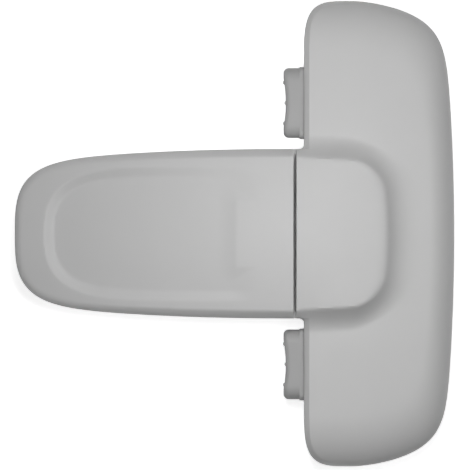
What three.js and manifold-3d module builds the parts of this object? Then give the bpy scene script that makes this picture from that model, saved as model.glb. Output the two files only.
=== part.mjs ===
// Refrigerator lock: a fixed arm, a squeeze handle hinged to it, and a keeper under the handle.
// It lies on its back on z = 0. +X runs from the arm to the handle, +Y along the handle, +Z to the
// person who opens it. All sizes are in millimetres.

import * as THREE from 'three';
import { mergeVertices } from 'three/addons/utils/BufferGeometryUtils.js';
import Module from 'manifold-3d';

const wasm = await Module();
wasm.setup();

// Driving sizes

const CLEAR = 0.3; // running gap between two pieces
const OVERRUN = 1; // how far a cutting tool runs past the face it cuts

const PAD_THICK = 1;
const PLATE_THICK = 2;
const WALL = 2;

const SEAM_X = 14.85; // middle of the gap between arm and handle
const SEAM_GAP = 0.58;
const CROWN_Z = 24; // highest line of the lock, at the seam
const CROSS_RADIUS = 120; // gentle crown from side to side

const ARM_TIP_X = -54.05;
const ARM_WIDE_X = 11.2; // where the arm stops widening
const ARM_HALF = 20.7;
const ARM_TAPER = 3.27;
const ARM_TIP_POWERS = [10.36, 3.27];
const ARM_CROWN_RADIUS = 190;
const ARM_EDGE_WIDE = 3.2;
const ARM_EDGE_DEEP = 3.6;

const DISH_TIP_X = -47.1;
const DISH_WIDE_X = -10;
const DISH_HALF = 16.3;
const DISH_TAPER = 1;
const DISH_TIP_POWERS = [5.2, 2.5];
const DISH_WALL = 2.8;
const DISH_TIP_WALL = 7; // the dish's wall is drawn out at the tip
const DISH_EASE = 0.25; // share of the wall that each rounded end of it takes
const DISH_TIP_REACH = 10;
const DISH_DEPTH = 1.3;
const DISH_END_DEPTH = 0.4;
const DISH_END_X = 1.5;
const DISH_FADE = 8;
const ISLAND_HALF = 12.8;
const ISLAND_CORNER = 5;
const ISLAND_WALL = 4;

const HEAD_WALL_X = 17;
const HEAD_RIGHT_X = 54.05;
const HEAD_TIP_X = 28.9;
const HEAD_HALF = 57.05;
const HEAD_TAPER = 3.15;
const HEAD_PALM_POWERS = [12.4, 1.5];
const HEAD_CORNER_Y = 42.1; // where the finger-side corner of the wing begins
const HEAD_CORNER_POWERS = [3.85, 3.9];
const HEAD_GAP = 0.6; // between the keeper and the underside of the handle
const WING_Z = 17;
const WING_RADIUS = 280;
const FINGER_EDGE = 1.55;
const PALM_EDGE = 6;
const TIP_EDGE = 12.6;
const ROLL_DEEP = 8.5;
const HEAD_CROWN_RADIUS = 110;

const BLOCK_CROSS_RADIUS = 240; // flatter across than the seam that it starts from
const BLOCK_EASE = 12;
const BLOCK_X = 36.5;
const BLOCK_INSET = 1.95; // the block is narrower than the arm by this on each side
const BLOCK_TAPER = 0.7;
const BLOCK_CORNER = 7.5;
const BLOCK_BOW = 90; // the palm end bulges a little in plan
const TONGUE_FILLET = 1.3;

// How the block falls to the wing: how far inside its line the fall begins, how wide its convex shoulder
// and its hollow valley are, and the power of each curve. The flanks and corners are crisper.
const BLOCK_PALM_SIDE = { lead: 3.5, shoulder: 5, valley: 8, late: 5, early: 2.9 };
const BLOCK_FLANK_SIDE = { lead: 0.3, shoulder: 0.8, valley: 5.2, late: 1.6, early: 1.6 };

const HINGE_BACK = 5.2; // hinge axis behind the handle's edge
const HINGE_DEPTH = 4.4; // hinge axis below the crown
const SWEEP_GAP = 0.45; // between the handle's barrel and the arm's cup
const FOOT_GAP = 0.5; // the arm's foot runs on under the barrel to this far from the finger wall
const FOOT_Z = 17;
const PIN_RADIUS = 1.25;
const PIN_HALF = 15;
const PIN_FIT = 0.15;
const EAR_RADIUS = 2.3;
const EAR_THICK = 3;
const EAR_Y = 9;
const EAR_FIT = 0.4;
const TONGUE_PLATE_HALF = 13;
const HINGE_BLOCK_HALF = 16;

const BACK_THICK = 1.8;

const BUTTON_GAP = 2.75; // between the arm and a button
const BUTTON_LENGTH = 17.1;
const BUTTON_FACE_X = 12.2;
const BUTTON_TALL = 6.8;
const BUTTON_LOW = 6.9;
const BUTTON_CORNER = 1.4;
const BUTTON_BEVEL = 0.8;
const BUTTON_END_ROUND = 2.6;
const BUTTON_HOLLOW = 0.55;
const BUTTON_FLAT = 2.6;
const BUTTON_STEP = 0.25; // the inner part is wider than the finger pad by this
const BUTTON_STEP_X = 15.9;
const BUTTON_TRAVEL = 3;
const RIB_PITCH = 4.9;
const RIB_RADIUS = 0.55;
const RIB_PROUD = 0.35;
const FLANGE_THICK = 1.5;
const FLANGE_LIP = 0.8;
const SLIDE_THICK = 1.8;
const SLIDE_RAIL = 2.2;
const SLIDE_BAR = 3;
const SLIDE_GAP = 0.5;
const PEG_RADIUS = 1.5;
const PEG_LENGTH = 3;

const SPRING_RADIUS = 2.6; // to the middle of the wire
const WIRE_RADIUS = 0.25;
const SPRING_TURNS = 7;
const SPRING_LENGTH = 12;
const SPRING_STOP_THICK = 1.8;
const SPRING_STOP_HALF = 4.5;

const HOOK_X = 44; // catching side of the hook's leaf
const HOOK_LEAF = 1.4;
const HOOK_WIDE = 6;
const HOOK_NOSE = 1.6;
const HOOK_NOSE_EDGE = 0.8;
const HOOK_RAMP = 2.4;
const HOOK_FOOT = 2;
const HOOK_FOOT_THICK = 0.9;
const HOOK_PLAY = 0.4;

const KEEPER_LEFT_X = 17.4;
const KEEPER_RIGHT_X = 49.5;
const KEEPER_HALF = 45.5;
const KEEPER_CORNER = 6;

const ARM_PAD_INSET = 2.4;

const SCREW_RADIUS = 1;
const SCREW_LENGTH = 8;
const SCREW_HEAD_RADIUS = 1.9;
const SCREW_HEAD_DEEP = 1.1;
const SCREW_RECESS_RADIUS = 0.8;
const SCREW_RECESS_DEEP = 0.6;
const BOSS_RADIUS = 2.7;

// Of the arm's reach left of the origin and of its half width
const ARM_SCREW_SHARES = [[0.7, 0.42], [-0.03, 0.6]];

// How finely curved skins are divided

const TIP_TRIM = 0.05; // a skin's end ring stands this far short of the outline's tip
const EDGE_CROWD = 1.6; // over 1: stations crowd towards the end of a stretch, where the surface turns
const TIP_CROWD = 2.2;
const START_CROWD = 0.6; // under 1: they crowd towards its start
const FINE = 2;
const COARSE = 1;
const ROUND_SIDES = 16;
const SMALL_SIDES = 10;
const ARC_STEPS = 12;
const NARROW_EDGE_SHARE = 1 / 3; // the most that an edge rounding takes of a narrow ring
const SIDE_SHARES = [0.5, 0.98]; // where the block's palm side lies along a ring of the handle

// Levels and places that follow from the driving sizes

const BED_Z = PAD_THICK + PLATE_THICK; // top of the keeper and of the arm's base plate
const HEAD_Z = BED_Z + HEAD_GAP; // underside of the handle
const BACK_Z = HEAD_Z + BACK_THICK; // top of the handle's back plate
const ARM_EDGE_X = SEAM_X - SEAM_GAP / 2;
const HEAD_EDGE_X = SEAM_X + SEAM_GAP / 2;
const AXIS_X = HEAD_EDGE_X + HINGE_BACK;
const AXIS_Z = CROWN_Z - HINGE_DEPTH;
const POCKET_RADIUS = EAR_RADIUS + EAR_FIT;
const HINGE_BLOCK_X = AXIS_X + POCKET_RADIUS + WALL;
const BLOCK_HALF = ARM_HALF - BLOCK_INSET;
const BUTTON_Y = ARM_HALF + BUTTON_GAP + BUTTON_LENGTH / 2;
const SLIDE_Z = BACK_Z + SLIDE_GAP;
const SLIDE_TOP_Z = SLIDE_Z + SLIDE_THICK;
const FLANGE_X = HEAD_WALL_X + WALL + CLEAR;
const FLANGE_BACK_X = FLANGE_X + FLANGE_THICK;
const SPRING_X = FLANGE_BACK_X + CLEAR;
const SPRING_END_X = SPRING_X + SPRING_LENGTH;
const SPRING_Z = BUTTON_LOW + BUTTON_TALL / 2 + SLIDE_GAP;

const ARM_SCREWS = ARM_SCREW_SHARES.flatMap(([alongShare, sideShare]) => [
  [ARM_TIP_X * alongShare, ARM_HALF * sideShare],
  [ARM_TIP_X * alongShare, -ARM_HALF * sideShare],
]);

const headScrewTip = (HEAD_HALF + BUTTON_Y + BUTTON_LENGTH / 2 - BOSS_RADIUS) / 2;
const HEAD_SCREWS = [
  [HEAD_TIP_X - BOSS_RADIUS, headScrewTip],
  [HOOK_X, headScrewTip],
  [HEAD_RIGHT_X - PALM_EDGE, BUTTON_Y / 2],
].flatMap(([x, y]) => [[x, y], [x, -y]]);

// Small helpers for numbers

const clamp01 = (t) => Math.min(1, Math.max(0, t));
const smooth = (t) => clamp01(t) ** 2 * (3 - 2 * clamp01(t));
const mix = (a, b, t) => a + (b - a) * t;
const roll = (t) => 1 - Math.sqrt(1 - clamp01(t) ** 2); // quarter ellipse, 0 to 1

// A straight climb from 0 to 1 whose two ends are rounded over a share of it.
function eased(t, share) {
  const at = clamp01(t);
  const roundEnd = 2 * share * (1 - share);
  if (at < share) return at ** 2 / roundEnd;
  if (at > 1 - share) return 1 - (1 - at) ** 2 / roundEnd;
  return (at - share / 2) / (1 - share);
}

// Values from a to b in n steps, a left out. A crowd over 1 draws them towards b.
function steps(a, b, n, crowd = 1) {
  return Array.from({ length: n }, (_, i) => b - (b - a) * (1 - (i + 1) / n) ** crowd);
}

// Small helpers for solids

// A geometry with nothing but its corners, those at one place merged.
function merge(geometry) {
  const bare = new THREE.BufferGeometry();
  bare.setAttribute('position', geometry.getAttribute('position'));
  bare.setIndex(geometry.getIndex());
  return mergeVertices(bare);
}

function solid(geometry) {
  const merged = merge(geometry);
  const corners = merged.getIndex().array;
  const kept = [];
  for (let i = 0; i < corners.length; i += 3) {
    const [a, b, c] = corners.slice(i, i + 3);
    if (a !== b && b !== c && c !== a) kept.push(a, b, c);
  }
  const vertProperties = new Float32Array(merged.getAttribute('position').array);
  const triVerts = new Uint32Array(kept);
  return new wasm.Manifold(new wasm.Mesh({ numProp: 3, vertProperties, triVerts }));
}

function geometryOf(manifold) {
  const { vertProperties, triVerts, numProp } = manifold.getMesh();
  const positions = new Float32Array((vertProperties.length / numProp) * 3);
  for (let i = 0; i < positions.length / 3; i += 1) {
    positions.set(vertProperties.slice(i * numProp, i * numProp + 3), i * 3);
  }
  const geometry = new THREE.BufferGeometry();
  geometry.setAttribute('position', new THREE.BufferAttribute(positions, 3));
  geometry.setIndex(new THREE.BufferAttribute(new Uint32Array(triVerts), 1));
  geometry.computeVertexNormals();
  return geometry;
}

// A closed skin through rings of points, each ring with as many points as the others.
function loft(rings) {
  const count = rings[0].length;
  const points = rings.flat();
  const index = [];
  for (let r = 0; r + 1 < rings.length; r += 1) {
    for (let i = 0; i < count; i += 1) {
      const a = r * count + i;
      const b = r * count + ((i + 1) % count);
      index.push(a, b, b + count, a, b + count, a + count);
    }
  }
  for (const [ring, flip] of [[0, true], [rings.length - 1, false]]) {
    const flat = rings[ring].map((p) => new THREE.Vector2(...ringPlane(rings[ring], p)));
    const turned = THREE.ShapeUtils.area(flat) < 0;
    for (const [a, b, c] of THREE.ShapeUtils.triangulateShape(flat, [])) {
      const corners = [ring * count + a, ring * count + b, ring * count + c];
      index.push(...(turned === flip ? corners : corners.reverse()));
    }
  }
  const geometry = new THREE.BufferGeometry().setFromPoints(points);
  geometry.setIndex(index);
  return outward(geometry);
}

// The two coordinates in which a ring is widest: rings here lie in a plane of constant X or Y.
function ringPlane(ring, p) {
  const alongX = Math.abs(ring[0].x - ring[1].x) + Math.abs(ring[0].x - ring.at(-1).x) > 0;
  return alongX ? [p.x, p.z] : [p.y, p.z];
}

// Turns a closed skin inside out if its faces point in.
function outward(geometry) {
  const p = geometry.getAttribute('position');
  const index = geometry.getIndex();
  const [a, b, c] = [new THREE.Vector3(), new THREE.Vector3(), new THREE.Vector3()];
  let volume = 0;
  for (let i = 0; i < index.count; i += 3) {
    a.fromBufferAttribute(p, index.getX(i));
    b.fromBufferAttribute(p, index.getX(i + 1));
    c.fromBufferAttribute(p, index.getX(i + 2));
    volume += a.dot(b.cross(c));
  }
  if (volume < 0) index.array.reverse();
  return geometry;
}

function box(x0, x1, y0, y1, z0, z1) {
  const geometry = new THREE.BoxGeometry(x1 - x0, y1 - y0, z1 - z0);
  return solid(geometry.translate((x0 + x1) / 2, (y0 + y1) / 2, (z0 + z1) / 2));
}

// A flat plate with the given outline in plan.
function plate(outline, z0, z1) {
  const shape = new THREE.Shape(outline.map(([x, y]) => new THREE.Vector2(x, y)));
  const geometry = new THREE.ExtrudeGeometry(shape, { depth: z1 - z0, bevelEnabled: false });
  return solid(geometry.translate(0, 0, z0));
}

// A profile drawn in X and Z, carried along Y.
function profile(outline, y0, y1) {
  const shape = new THREE.Shape(outline.map(([x, z]) => new THREE.Vector2(x, z)));
  const geometry = new THREE.ExtrudeGeometry(shape, { depth: y1 - y0, bevelEnabled: false });
  return solid(geometry.rotateX(Math.PI / 2).translate(0, y1, 0));
}

// An outline drawn in Y and Z, carried along X.
function carriedAlongX(outline, x0, x1) {
  const shape = new THREE.Shape(outline.map(([y, z]) => new THREE.Vector2(y, z)));
  const geometry = new THREE.ExtrudeGeometry(shape, { depth: x1 - x0, bevelEnabled: false });
  return solid(geometry.rotateX(Math.PI / 2).rotateZ(Math.PI / 2).translate(x0, 0, 0));
}

const ROD_TURNS = { X: ['rotateZ', -Math.PI / 2], Y: ['rotateZ', 0], Z: ['rotateX', Math.PI / 2] };

// A round bar along one axis, from a to b, through the other two coordinates at [u, v].
function rod(axis, radius, a, b, [u, v], sides = ROUND_SIDES) {
  const [turn, angle] = ROD_TURNS[axis];
  const geometry = new THREE.CylinderGeometry(radius, radius, b - a, sides)[turn](angle);
  const middle = (a + b) / 2;
  const place = { X: [middle, u, v], Y: [u, middle, v], Z: [u, v, middle] }[axis];
  return solid(geometry.translate(...place));
}

// A round body about a line parallel to Z, from pairs of radius and height.
function turned(pairs, x, y) {
  const points = pairs.map(([r, z]) => new THREE.Vector2(r, z));
  const geometry = new THREE.LatheGeometry(points, SMALL_SIDES).rotateX(Math.PI / 2);
  return solid(outward(merge(geometry)).translate(x, y, 0));
}

const unite = (pieces) => pieces.reduce((whole, piece) => whole.add(piece));
const without = (body, cuts) => cuts.reduce((whole, cut) => whole.subtract(cut), body);

// A closed outline moved in by d along its normals. It runs counter-clockwise.
function inset(outline, d) {
  return outline.map(([x, y], i) => {
    const [x0, y0] = outline.at(i - 1);
    const [x1, y1] = outline[(i + 1) % outline.length];
    const length = Math.hypot(x1 - x0, y1 - y0);
    return [x - (d * (y1 - y0)) / length, y + (d * (x1 - x0)) / length];
  });
}

function roundedRect(x0, x1, y0, y1, radius, arcSteps = 6) {
  const centres = [
    [x1 - radius, y1 - radius],
    [x0 + radius, y1 - radius],
    [x0 + radius, y0 + radius],
    [x1 - radius, y0 + radius],
  ];
  return centres.flatMap(([x, y], quarter) =>
    Array.from({ length: arcSteps + 1 }, (_, i) => {
      const angle = (quarter + i / arcSteps) * (Math.PI / 2);
      return [x + radius * Math.cos(angle), y + radius * Math.sin(angle)];
    }),
  );
}

// Outlines in plan

// 1 in the middle of a blunt end and 0 at its tip, t being how far along it is. The first power says
// how late the end turns in, the second how square it is.
const bluntEnd = (t, [late, square]) => (1 - t ** late) ** (1 / square);

// Half the width of a blunt tongue that starts at tipX and is full at wideX.
function bluntHalf(x, tipX, wideX, half, taper, powers) {
  const t = clamp01((wideX - x) / (wideX - tipX));
  return (half - taper * t * t) * bluntEnd(t, powers);
}

const armHalf = (x) => bluntHalf(x, ARM_TIP_X, ARM_WIDE_X, ARM_HALF, ARM_TAPER, ARM_TIP_POWERS);
const dishHalf = (x) => bluntHalf(x, DISH_TIP_X, DISH_WIDE_X, DISH_HALF, DISH_TAPER, DISH_TIP_POWERS);

// The palm side of the handle, drawn in by a share of the rounding that runs along it.
function palmLine(y, inShare) {
  const t = Math.min(1, Math.abs(y) / (HEAD_HALF - TIP_EDGE * inShare));
  const reach = HEAD_RIGHT_X - PALM_EDGE * inShare - HEAD_TIP_X - HEAD_TAPER * t * t;
  return HEAD_TIP_X + reach * bluntEnd(t, HEAD_PALM_POWERS);
}

const headRight = (y) => palmLine(y, 0);

function headLeft(y) {
  const t = clamp01((Math.abs(y) - HEAD_CORNER_Y) / (HEAD_HALF - HEAD_CORNER_Y));
  return HEAD_TIP_X - (HEAD_TIP_X - HEAD_WALL_X) * bluntEnd(t, HEAD_CORNER_POWERS);
}

// The slope of an outline turns a distance along one axis into a distance to the outline.
function across(gap, f, at) {
  const d = CLEAR;
  const slope = (f(at + d) - f(at - d)) / (2 * d);
  return gap / Math.hypot(1, slope);
}

// Top surface of the arm

const crownLine = (x, radius) => CROWN_Z - (x - SEAM_X) ** 2 / (2 * radius);
const crossDrop = (y, radius) => y ** 2 / (2 * radius);

// Signed distance to a quarter plane whose corner is round, dx and dy being measured from its centre.
function roundedCorner(dx, dy) {
  return Math.hypot(Math.max(dx, 0), Math.max(dy, 0)) + Math.min(Math.max(dx, dy), 0);
}

function dishDrop(x, y) {
  const side = across(dishHalf(x) - Math.abs(y), dishHalf, x);
  const wall = mix(DISH_TIP_WALL, DISH_WALL, smooth((x - DISH_TIP_X) / DISH_TIP_REACH));
  const inside = eased(side / wall, DISH_EASE) * (1 - smooth((x - DISH_END_X) / DISH_FADE + 1));
  const depth = mix(DISH_DEPTH, DISH_END_DEPTH, clamp01((x - DISH_TIP_X) / (DISH_END_X - DISH_TIP_X)));
  const dx = DISH_END_X - ISLAND_WALL + ISLAND_CORNER - x;
  const dy = Math.abs(y) - ISLAND_HALF + ISLAND_CORNER;
  const island = 1 - smooth((roundedCorner(dx, dy) - ISLAND_CORNER) / ISLAND_WALL + 1);
  return depth * Math.min(inside, 1 - island);
}

function armTop(x, y) {
  const edge = across(armHalf(x) - Math.abs(y), armHalf, x);
  const rounding = ARM_EDGE_DEEP * roll(1 - edge / ARM_EDGE_WIDE);
  return crownLine(x, ARM_CROWN_RADIUS) - crossDrop(y, CROSS_RADIUS) - rounding - dishDrop(x, y);
}

// The arm's end as both sides of the seam have it.
function seamTop(y) {
  const side = Math.min(Math.abs(y), ARM_HALF);
  const rounding = ARM_EDGE_DEEP * roll(1 - (ARM_HALF - side) / ARM_EDGE_WIDE);
  return CROWN_Z - crossDrop(side, CROSS_RADIUS) - rounding;
}

// Top surface of the handle

// 1 on the raised block and 0 on the wings.
function blockShare(x, y) {
  const half = BLOCK_HALF - (BLOCK_TAPER * Math.max(0, x - HEAD_EDGE_X)) / (BLOCK_X - HEAD_EDGE_X);
  const dx = x - BLOCK_X + BLOCK_CORNER + y ** 2 / (2 * BLOCK_BOW);
  const dy = Math.abs(y) - half + BLOCK_CORNER;
  const reach = Math.hypot(Math.max(dx, 0), Math.max(dy, 0));
  const flank = reach > 0 ? Math.sin(((Math.PI / 2) * Math.max(dy, 0)) / reach) : 0;
  const [lead, shoulder, valley, late, early] = ['lead', 'shoulder', 'valley', 'late', 'early'].map(
    (size) => mix(BLOCK_PALM_SIDE[size], BLOCK_FLANK_SIDE[size], flank),
  );
  const past = roundedCorner(dx, dy) - BLOCK_CORNER + lead;
  const foot = late / shoulder / (late / shoulder + early / valley);
  if (past < shoulder) return 1 - (1 - foot) * clamp01(past / shoulder) ** late;
  return foot * clamp01(1 - (past - shoulder) / valley) ** early;
}

// How far in from the outline a point lies, as a share of the rounding along the palm side and tips.
function inShareAt(x, y) {
  const holds = (share) => Math.abs(y) < HEAD_HALF - TIP_EDGE * share && x < palmLine(y, share);
  if (holds(1)) return 1;
  let [low, high] = [0, 1];
  for (let halvings = 0; halvings < 20; halvings += 1) {
    const middle = (low + high) / 2;
    if (holds(middle)) low = middle;
    else high = middle;
  }
  return low;
}

function wingTop(x, y) {
  const rounding = ROLL_DEEP * roll(1 - inShareAt(x, y));
  return WING_Z - (x - HEAD_WALL_X) ** 2 / (2 * WING_RADIUS) - rounding;
}

function headTop(x, y) {
  const flatter = smooth((x - HEAD_EDGE_X) / BLOCK_EASE);
  const drop = mix(crossDrop(y, CROSS_RADIUS), crossDrop(y, BLOCK_CROSS_RADIUS), flatter);
  const block = crownLine(x, HEAD_CROWN_RADIUS) - drop;
  const finger = across(x - headLeft(y), headLeft, y);
  const rounded = Math.abs(y) > ARM_HALF ? FINGER_EDGE * roll(1 - finger / FINGER_EDGE) : 0;
  const field = mix(wingTop(x, y), block, blockShare(x, y)) - rounded;
  const away = smooth((x - HEAD_EDGE_X) / (HEAD_WALL_X - HEAD_EDGE_X));
  return Math.abs(y) < ARM_HALF + TONGUE_FILLET ? mix(seamTop(y), field, away) : field;
}

const barrelRadius = (y) => Math.hypot(HINGE_BACK, seamTop(y) - AXIS_Z);

// The arm's skin: rings across the arm, from its tip to the seam

function armSkin(detail) {
  const tip = ARM_TIP_X + TIP_TRIM;
  const dishStart = DISH_TIP_X + DISH_TIP_WALL;
  const dishEnd = DISH_END_X - 2 * ISLAND_WALL;
  const stations = [
    ...steps(DISH_TIP_X, tip, 6, TIP_CROWD).reverse(),
    ...steps(DISH_TIP_X, dishStart, 3 * detail),
    ...steps(dishStart, dishEnd, 3 * detail),
    ...steps(dishEnd, DISH_END_X, 2 * detail),
    ...steps(DISH_END_X, ARM_EDGE_X, 2),
  ];
  return loft(stations.map((x) => armRing(x, detail)));
}

function armRing(x, detail) {
  const half = armHalf(x);
  const edge = Math.min(ARM_EDGE_WIDE, half * NARROW_EDGE_SHARE);
  const dish = Math.min(dishHalf(x), half - 2 * edge);
  const inner = Math.max(dish - DISH_WALL, (half - edge) / 2);
  const rim = Math.max(dish, (inner + half - edge) / 2);
  const shares = [
    ...steps(0, inner, 2),
    ...steps(inner, rim, 1 + detail),
    half - edge,
    ...steps(half - edge, half, 2 + detail, EDGE_CROWD),
  ];
  const ys = [...shares.map((y) => -y).reverse(), 0, ...shares];
  const top = ys.map((y) => new THREE.Vector3(x, y, armTop(x, y)));
  return [new THREE.Vector3(x, -half, PAD_THICK), ...top, new THREE.Vector3(x, half, PAD_THICK)];
}

// The arm's outline, run on to the hinge axis so that each piece can be cut square at the seam.
function armOutline(d) {
  const upper = [AXIS_X, ...steps(AXIS_X, ARM_TIP_X, 20, TIP_CROWD)].map((x) => [x, armHalf(x)]);
  const lower = upper.slice(0, -1).map(([x, y]) => [x, -y]);
  return inset([...upper, ...lower.reverse()], d);
}

// The handle's skin: rings in planes across the handle, from one wing tip to the other

function headSkin(detail) {
  const fillet = ARM_HALF + TONGUE_FILLET;
  const crease = BLOCK_HALF - BLOCK_FLANK_SIDE.lead;
  const half = [
    ...steps(0, BLOCK_HALF - BLOCK_CORNER, detail),
    ...steps(BLOCK_HALF - BLOCK_CORNER, crease, 2 * detail),
    ...steps(crease, crease + BLOCK_FLANK_SIDE.shoulder, detail),
    ...steps(crease + BLOCK_FLANK_SIDE.shoulder, ARM_HALF, detail),
    ...steps(ARM_HALF, fillet, 1 + detail, START_CROWD),
    ...steps(fillet, BLOCK_HALF + BLOCK_FLANK_SIDE.valley, detail),
    ...steps(BLOCK_HALF + BLOCK_FLANK_SIDE.valley, HEAD_HALF - TIP_EDGE, 2),
    ...steps(HEAD_HALF - TIP_EDGE, HEAD_HALF - TIP_TRIM, 3 + 3 * detail, TIP_CROWD),
  ];
  const ys = [...half.map((y) => -y).reverse(), 0, ...half];
  return loft(ys.map((y) => headRing(y, detail)));
}

function headRing(y, detail) {
  const left = headRingLeft(y);
  const right = headRight(y);
  const finger = Math.min(FINGER_EDGE, (right - left) * NARROW_EDGE_SHARE);
  const palm = Math.min(PALM_EDGE, (right - left) * NARROW_EDGE_SHARE);
  const [sideStart, sideEnd] = SIDE_SHARES.map((share) => mix(left + finger, right - palm, share));
  const xs = [
    ...steps(left, left + finger, 1 + detail, START_CROWD),
    ...steps(left + finger, sideStart, 2 * detail),
    ...steps(sideStart, sideEnd, 4 * detail),
    ...steps(sideEnd, right - palm, 1),
    ...steps(right - palm, right, 1 + 2 * detail, EDGE_CROWD),
  ];
  const top = xs.map((x) => new THREE.Vector3(x, y, headTop(x, y)));
  return [...headRingSide(y, left), ...top, new THREE.Vector3(right, y, HEAD_Z)];
}

// How far the tongue reaches left of the finger wall: 1 on the tongue, 0 on the wings.
function tongueShare(y) {
  const past = Math.abs(y) - ARM_HALF;
  if (past <= 0) return 1;
  const rest = TONGUE_FILLET - Math.min(past, TONGUE_FILLET);
  const reach = TONGUE_FILLET - Math.sqrt(TONGUE_FILLET ** 2 - rest ** 2);
  return reach / (HEAD_WALL_X - HEAD_EDGE_X);
}

const headRingLeft = (y) => headLeft(y) - tongueShare(y) * (HEAD_WALL_X - HEAD_EDGE_X);

// The side that faces the arm: a barrel about the hinge axis, flat in front, over a straight wall.
function headRingSide(y, left) {
  const wall = headLeft(y);
  const share = tongueShare(y);
  const radius = barrelRadius(y);
  const front = Math.atan2(seamTop(y) - AXIS_Z, -HINGE_BACK);
  const start = front < 0 ? front : front - 2 * Math.PI;
  const end = -Math.acos((HEAD_WALL_X - AXIS_X) / radius);
  const edge = headTop(left, y);
  const count = ARC_STEPS / 2;
  const side = [new THREE.Vector3(wall, y, HEAD_Z)];
  for (let i = 0; i <= count; i += 1) {
    const angle = mix(end, start, i / count);
    const barrelX = Math.max(HEAD_EDGE_X, AXIS_X + radius * Math.cos(angle));
    const barrelZ = AXIS_Z + radius * Math.sin(angle);
    const plainZ = mix(HEAD_Z, edge, (i + 1) / (count + 1));
    const x = mix(wall, wall + barrelX - HEAD_WALL_X, share);
    side.push(new THREE.Vector3(x, y, mix(plainZ, barrelZ, share ** 2)));
  }
  return side;
}

function headOutline(d) {
  const upper = [0, ...steps(0, HEAD_HALF, 18, TIP_CROWD)];
  const lower = upper.slice(1, -1).map((y) => -y).reverse();
  const right = [...lower, ...upper].map((y) => [headRight(y), y]);
  const left = [...lower, ...upper.slice(0, -1)].map((y) => [headLeft(y), y]);
  return inset([[HEAD_TIP_X, -HEAD_HALF], ...right, ...left.reverse()], d);
}

// Screws and what takes them

function screw(x, y, z) {
  return turned([
    [0, z + SCREW_RECESS_DEEP],
    [SCREW_RECESS_RADIUS, z + SCREW_RECESS_DEEP],
    [SCREW_RECESS_RADIUS, z],
    [SCREW_HEAD_RADIUS, z],
    [SCREW_RADIUS, z + SCREW_HEAD_DEEP],
    [SCREW_RADIUS, z + SCREW_LENGTH - SCREW_RADIUS],
    [0, z + SCREW_LENGTH],
  ], x, y);
}

function screwHole(x, y, z) {
  return turned([
    [0, z - OVERRUN],
    [SCREW_HEAD_RADIUS + CLEAR, z - OVERRUN],
    [SCREW_HEAD_RADIUS + CLEAR, z],
    [SCREW_RADIUS + CLEAR, z + SCREW_HEAD_DEEP + CLEAR],
    [SCREW_RADIUS + CLEAR, z + SCREW_LENGTH + CLEAR],
    [0, z + SCREW_LENGTH + CLEAR],
  ], x, y);
}

const boss = (x, y, z, top) => rod('Z', BOSS_RADIUS, z, top, [x, y], SMALL_SIDES);

// Pieces of the arm

function armCover() {
  const skin = solid(armSkin(FINE));
  const below = solid(armSkin(COARSE)).translate([0, 0, -WALL]);
  const cupReach = barrelRadius(0) + SWEEP_GAP + WALL;
  const room = plate(armOutline(WALL), PAD_THICK - OVERRUN, CROWN_Z);
  const wallAtSeam = box(AXIS_X - cupReach, AXIS_X, -ARM_HALF, ARM_HALF, -CROWN_Z, CROWN_Z);
  const hollow = below.intersect(room).subtract(wallAtSeam);
  const floor = box(ARM_TIP_X, ARM_EDGE_X, -ARM_HALF, ARM_HALF, -WALL, BED_Z);
  const seat = floor.intersect(room).subtract(wallAtSeam);
  const midWall = below.translate([0, 0, WALL / 2]);
  const bosses = ARM_SCREWS.map(([x, y]) => boss(x, y, BED_Z + CLEAR, CROWN_Z).intersect(midWall));
  const holes = ARM_SCREWS.map(([x, y]) => screwHole(x, y, PAD_THICK));
  const doorway = box(
    AXIS_X - cupReach - OVERRUN, AXIS_X,
    -TONGUE_PLATE_HALF - CLEAR, TONGUE_PLATE_HALF + CLEAR,
    0, BED_Z + CLEAR,
  );
  const foot = box(
    ARM_EDGE_X - WALL, HEAD_WALL_X - FOOT_GAP,
    -ARM_HALF, ARM_HALF,
    HEAD_Z, FOOT_Z,
  );
  const shell = skin.subtract(hollow).subtract(seat);
  return without(unite([shell, foot, ...bosses]), [...holes, doorway, hingeCup()]);
}

// The space that the handle's barrel sweeps, with its gap.
function hingeCup() {
  const ys = steps(-ARM_HALF, ARM_HALF, 24);
  const outer = [-ARM_HALF, ...ys].map((y) => new THREE.Vector2(barrelRadius(y) + SWEEP_GAP, y));
  const last = outer.at(-1).x;
  const points = [
    new THREE.Vector2(0, -ARM_HALF - OVERRUN),
    new THREE.Vector2(last, -ARM_HALF - OVERRUN),
    ...outer,
    new THREE.Vector2(last, ARM_HALF + OVERRUN),
    new THREE.Vector2(0, ARM_HALF + OVERRUN),
  ];
  const geometry = outward(merge(new THREE.LatheGeometry(points, 3 * ROUND_SIDES)));
  return solid(geometry.translate(AXIS_X, 0, AXIS_Z));
}

function armBase() {
  const bed = plate(armOutline(WALL + CLEAR), PAD_THICK, BED_Z);
  const cupReach = barrelRadius(0) + SWEEP_GAP + WALL;
  const trimmed = bed.subtract(
    box(AXIS_X - cupReach - CLEAR, AXIS_X, -ARM_HALF, ARM_HALF, 0, BED_Z + OVERRUN),
  );
  const tongue = box(
    AXIS_X - cupReach - WALL, AXIS_X + EAR_RADIUS,
    -TONGUE_PLATE_HALF, TONGUE_PLATE_HALF,
    PAD_THICK, BED_Z,
  );
  const ears = [-EAR_Y, EAR_Y].map(hingeEar);
  const holes = ARM_SCREWS.map(([x, y]) => screwHole(x, y, PAD_THICK));
  return without(unite([trimmed, tongue, ...ears]), holes);
}

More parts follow.
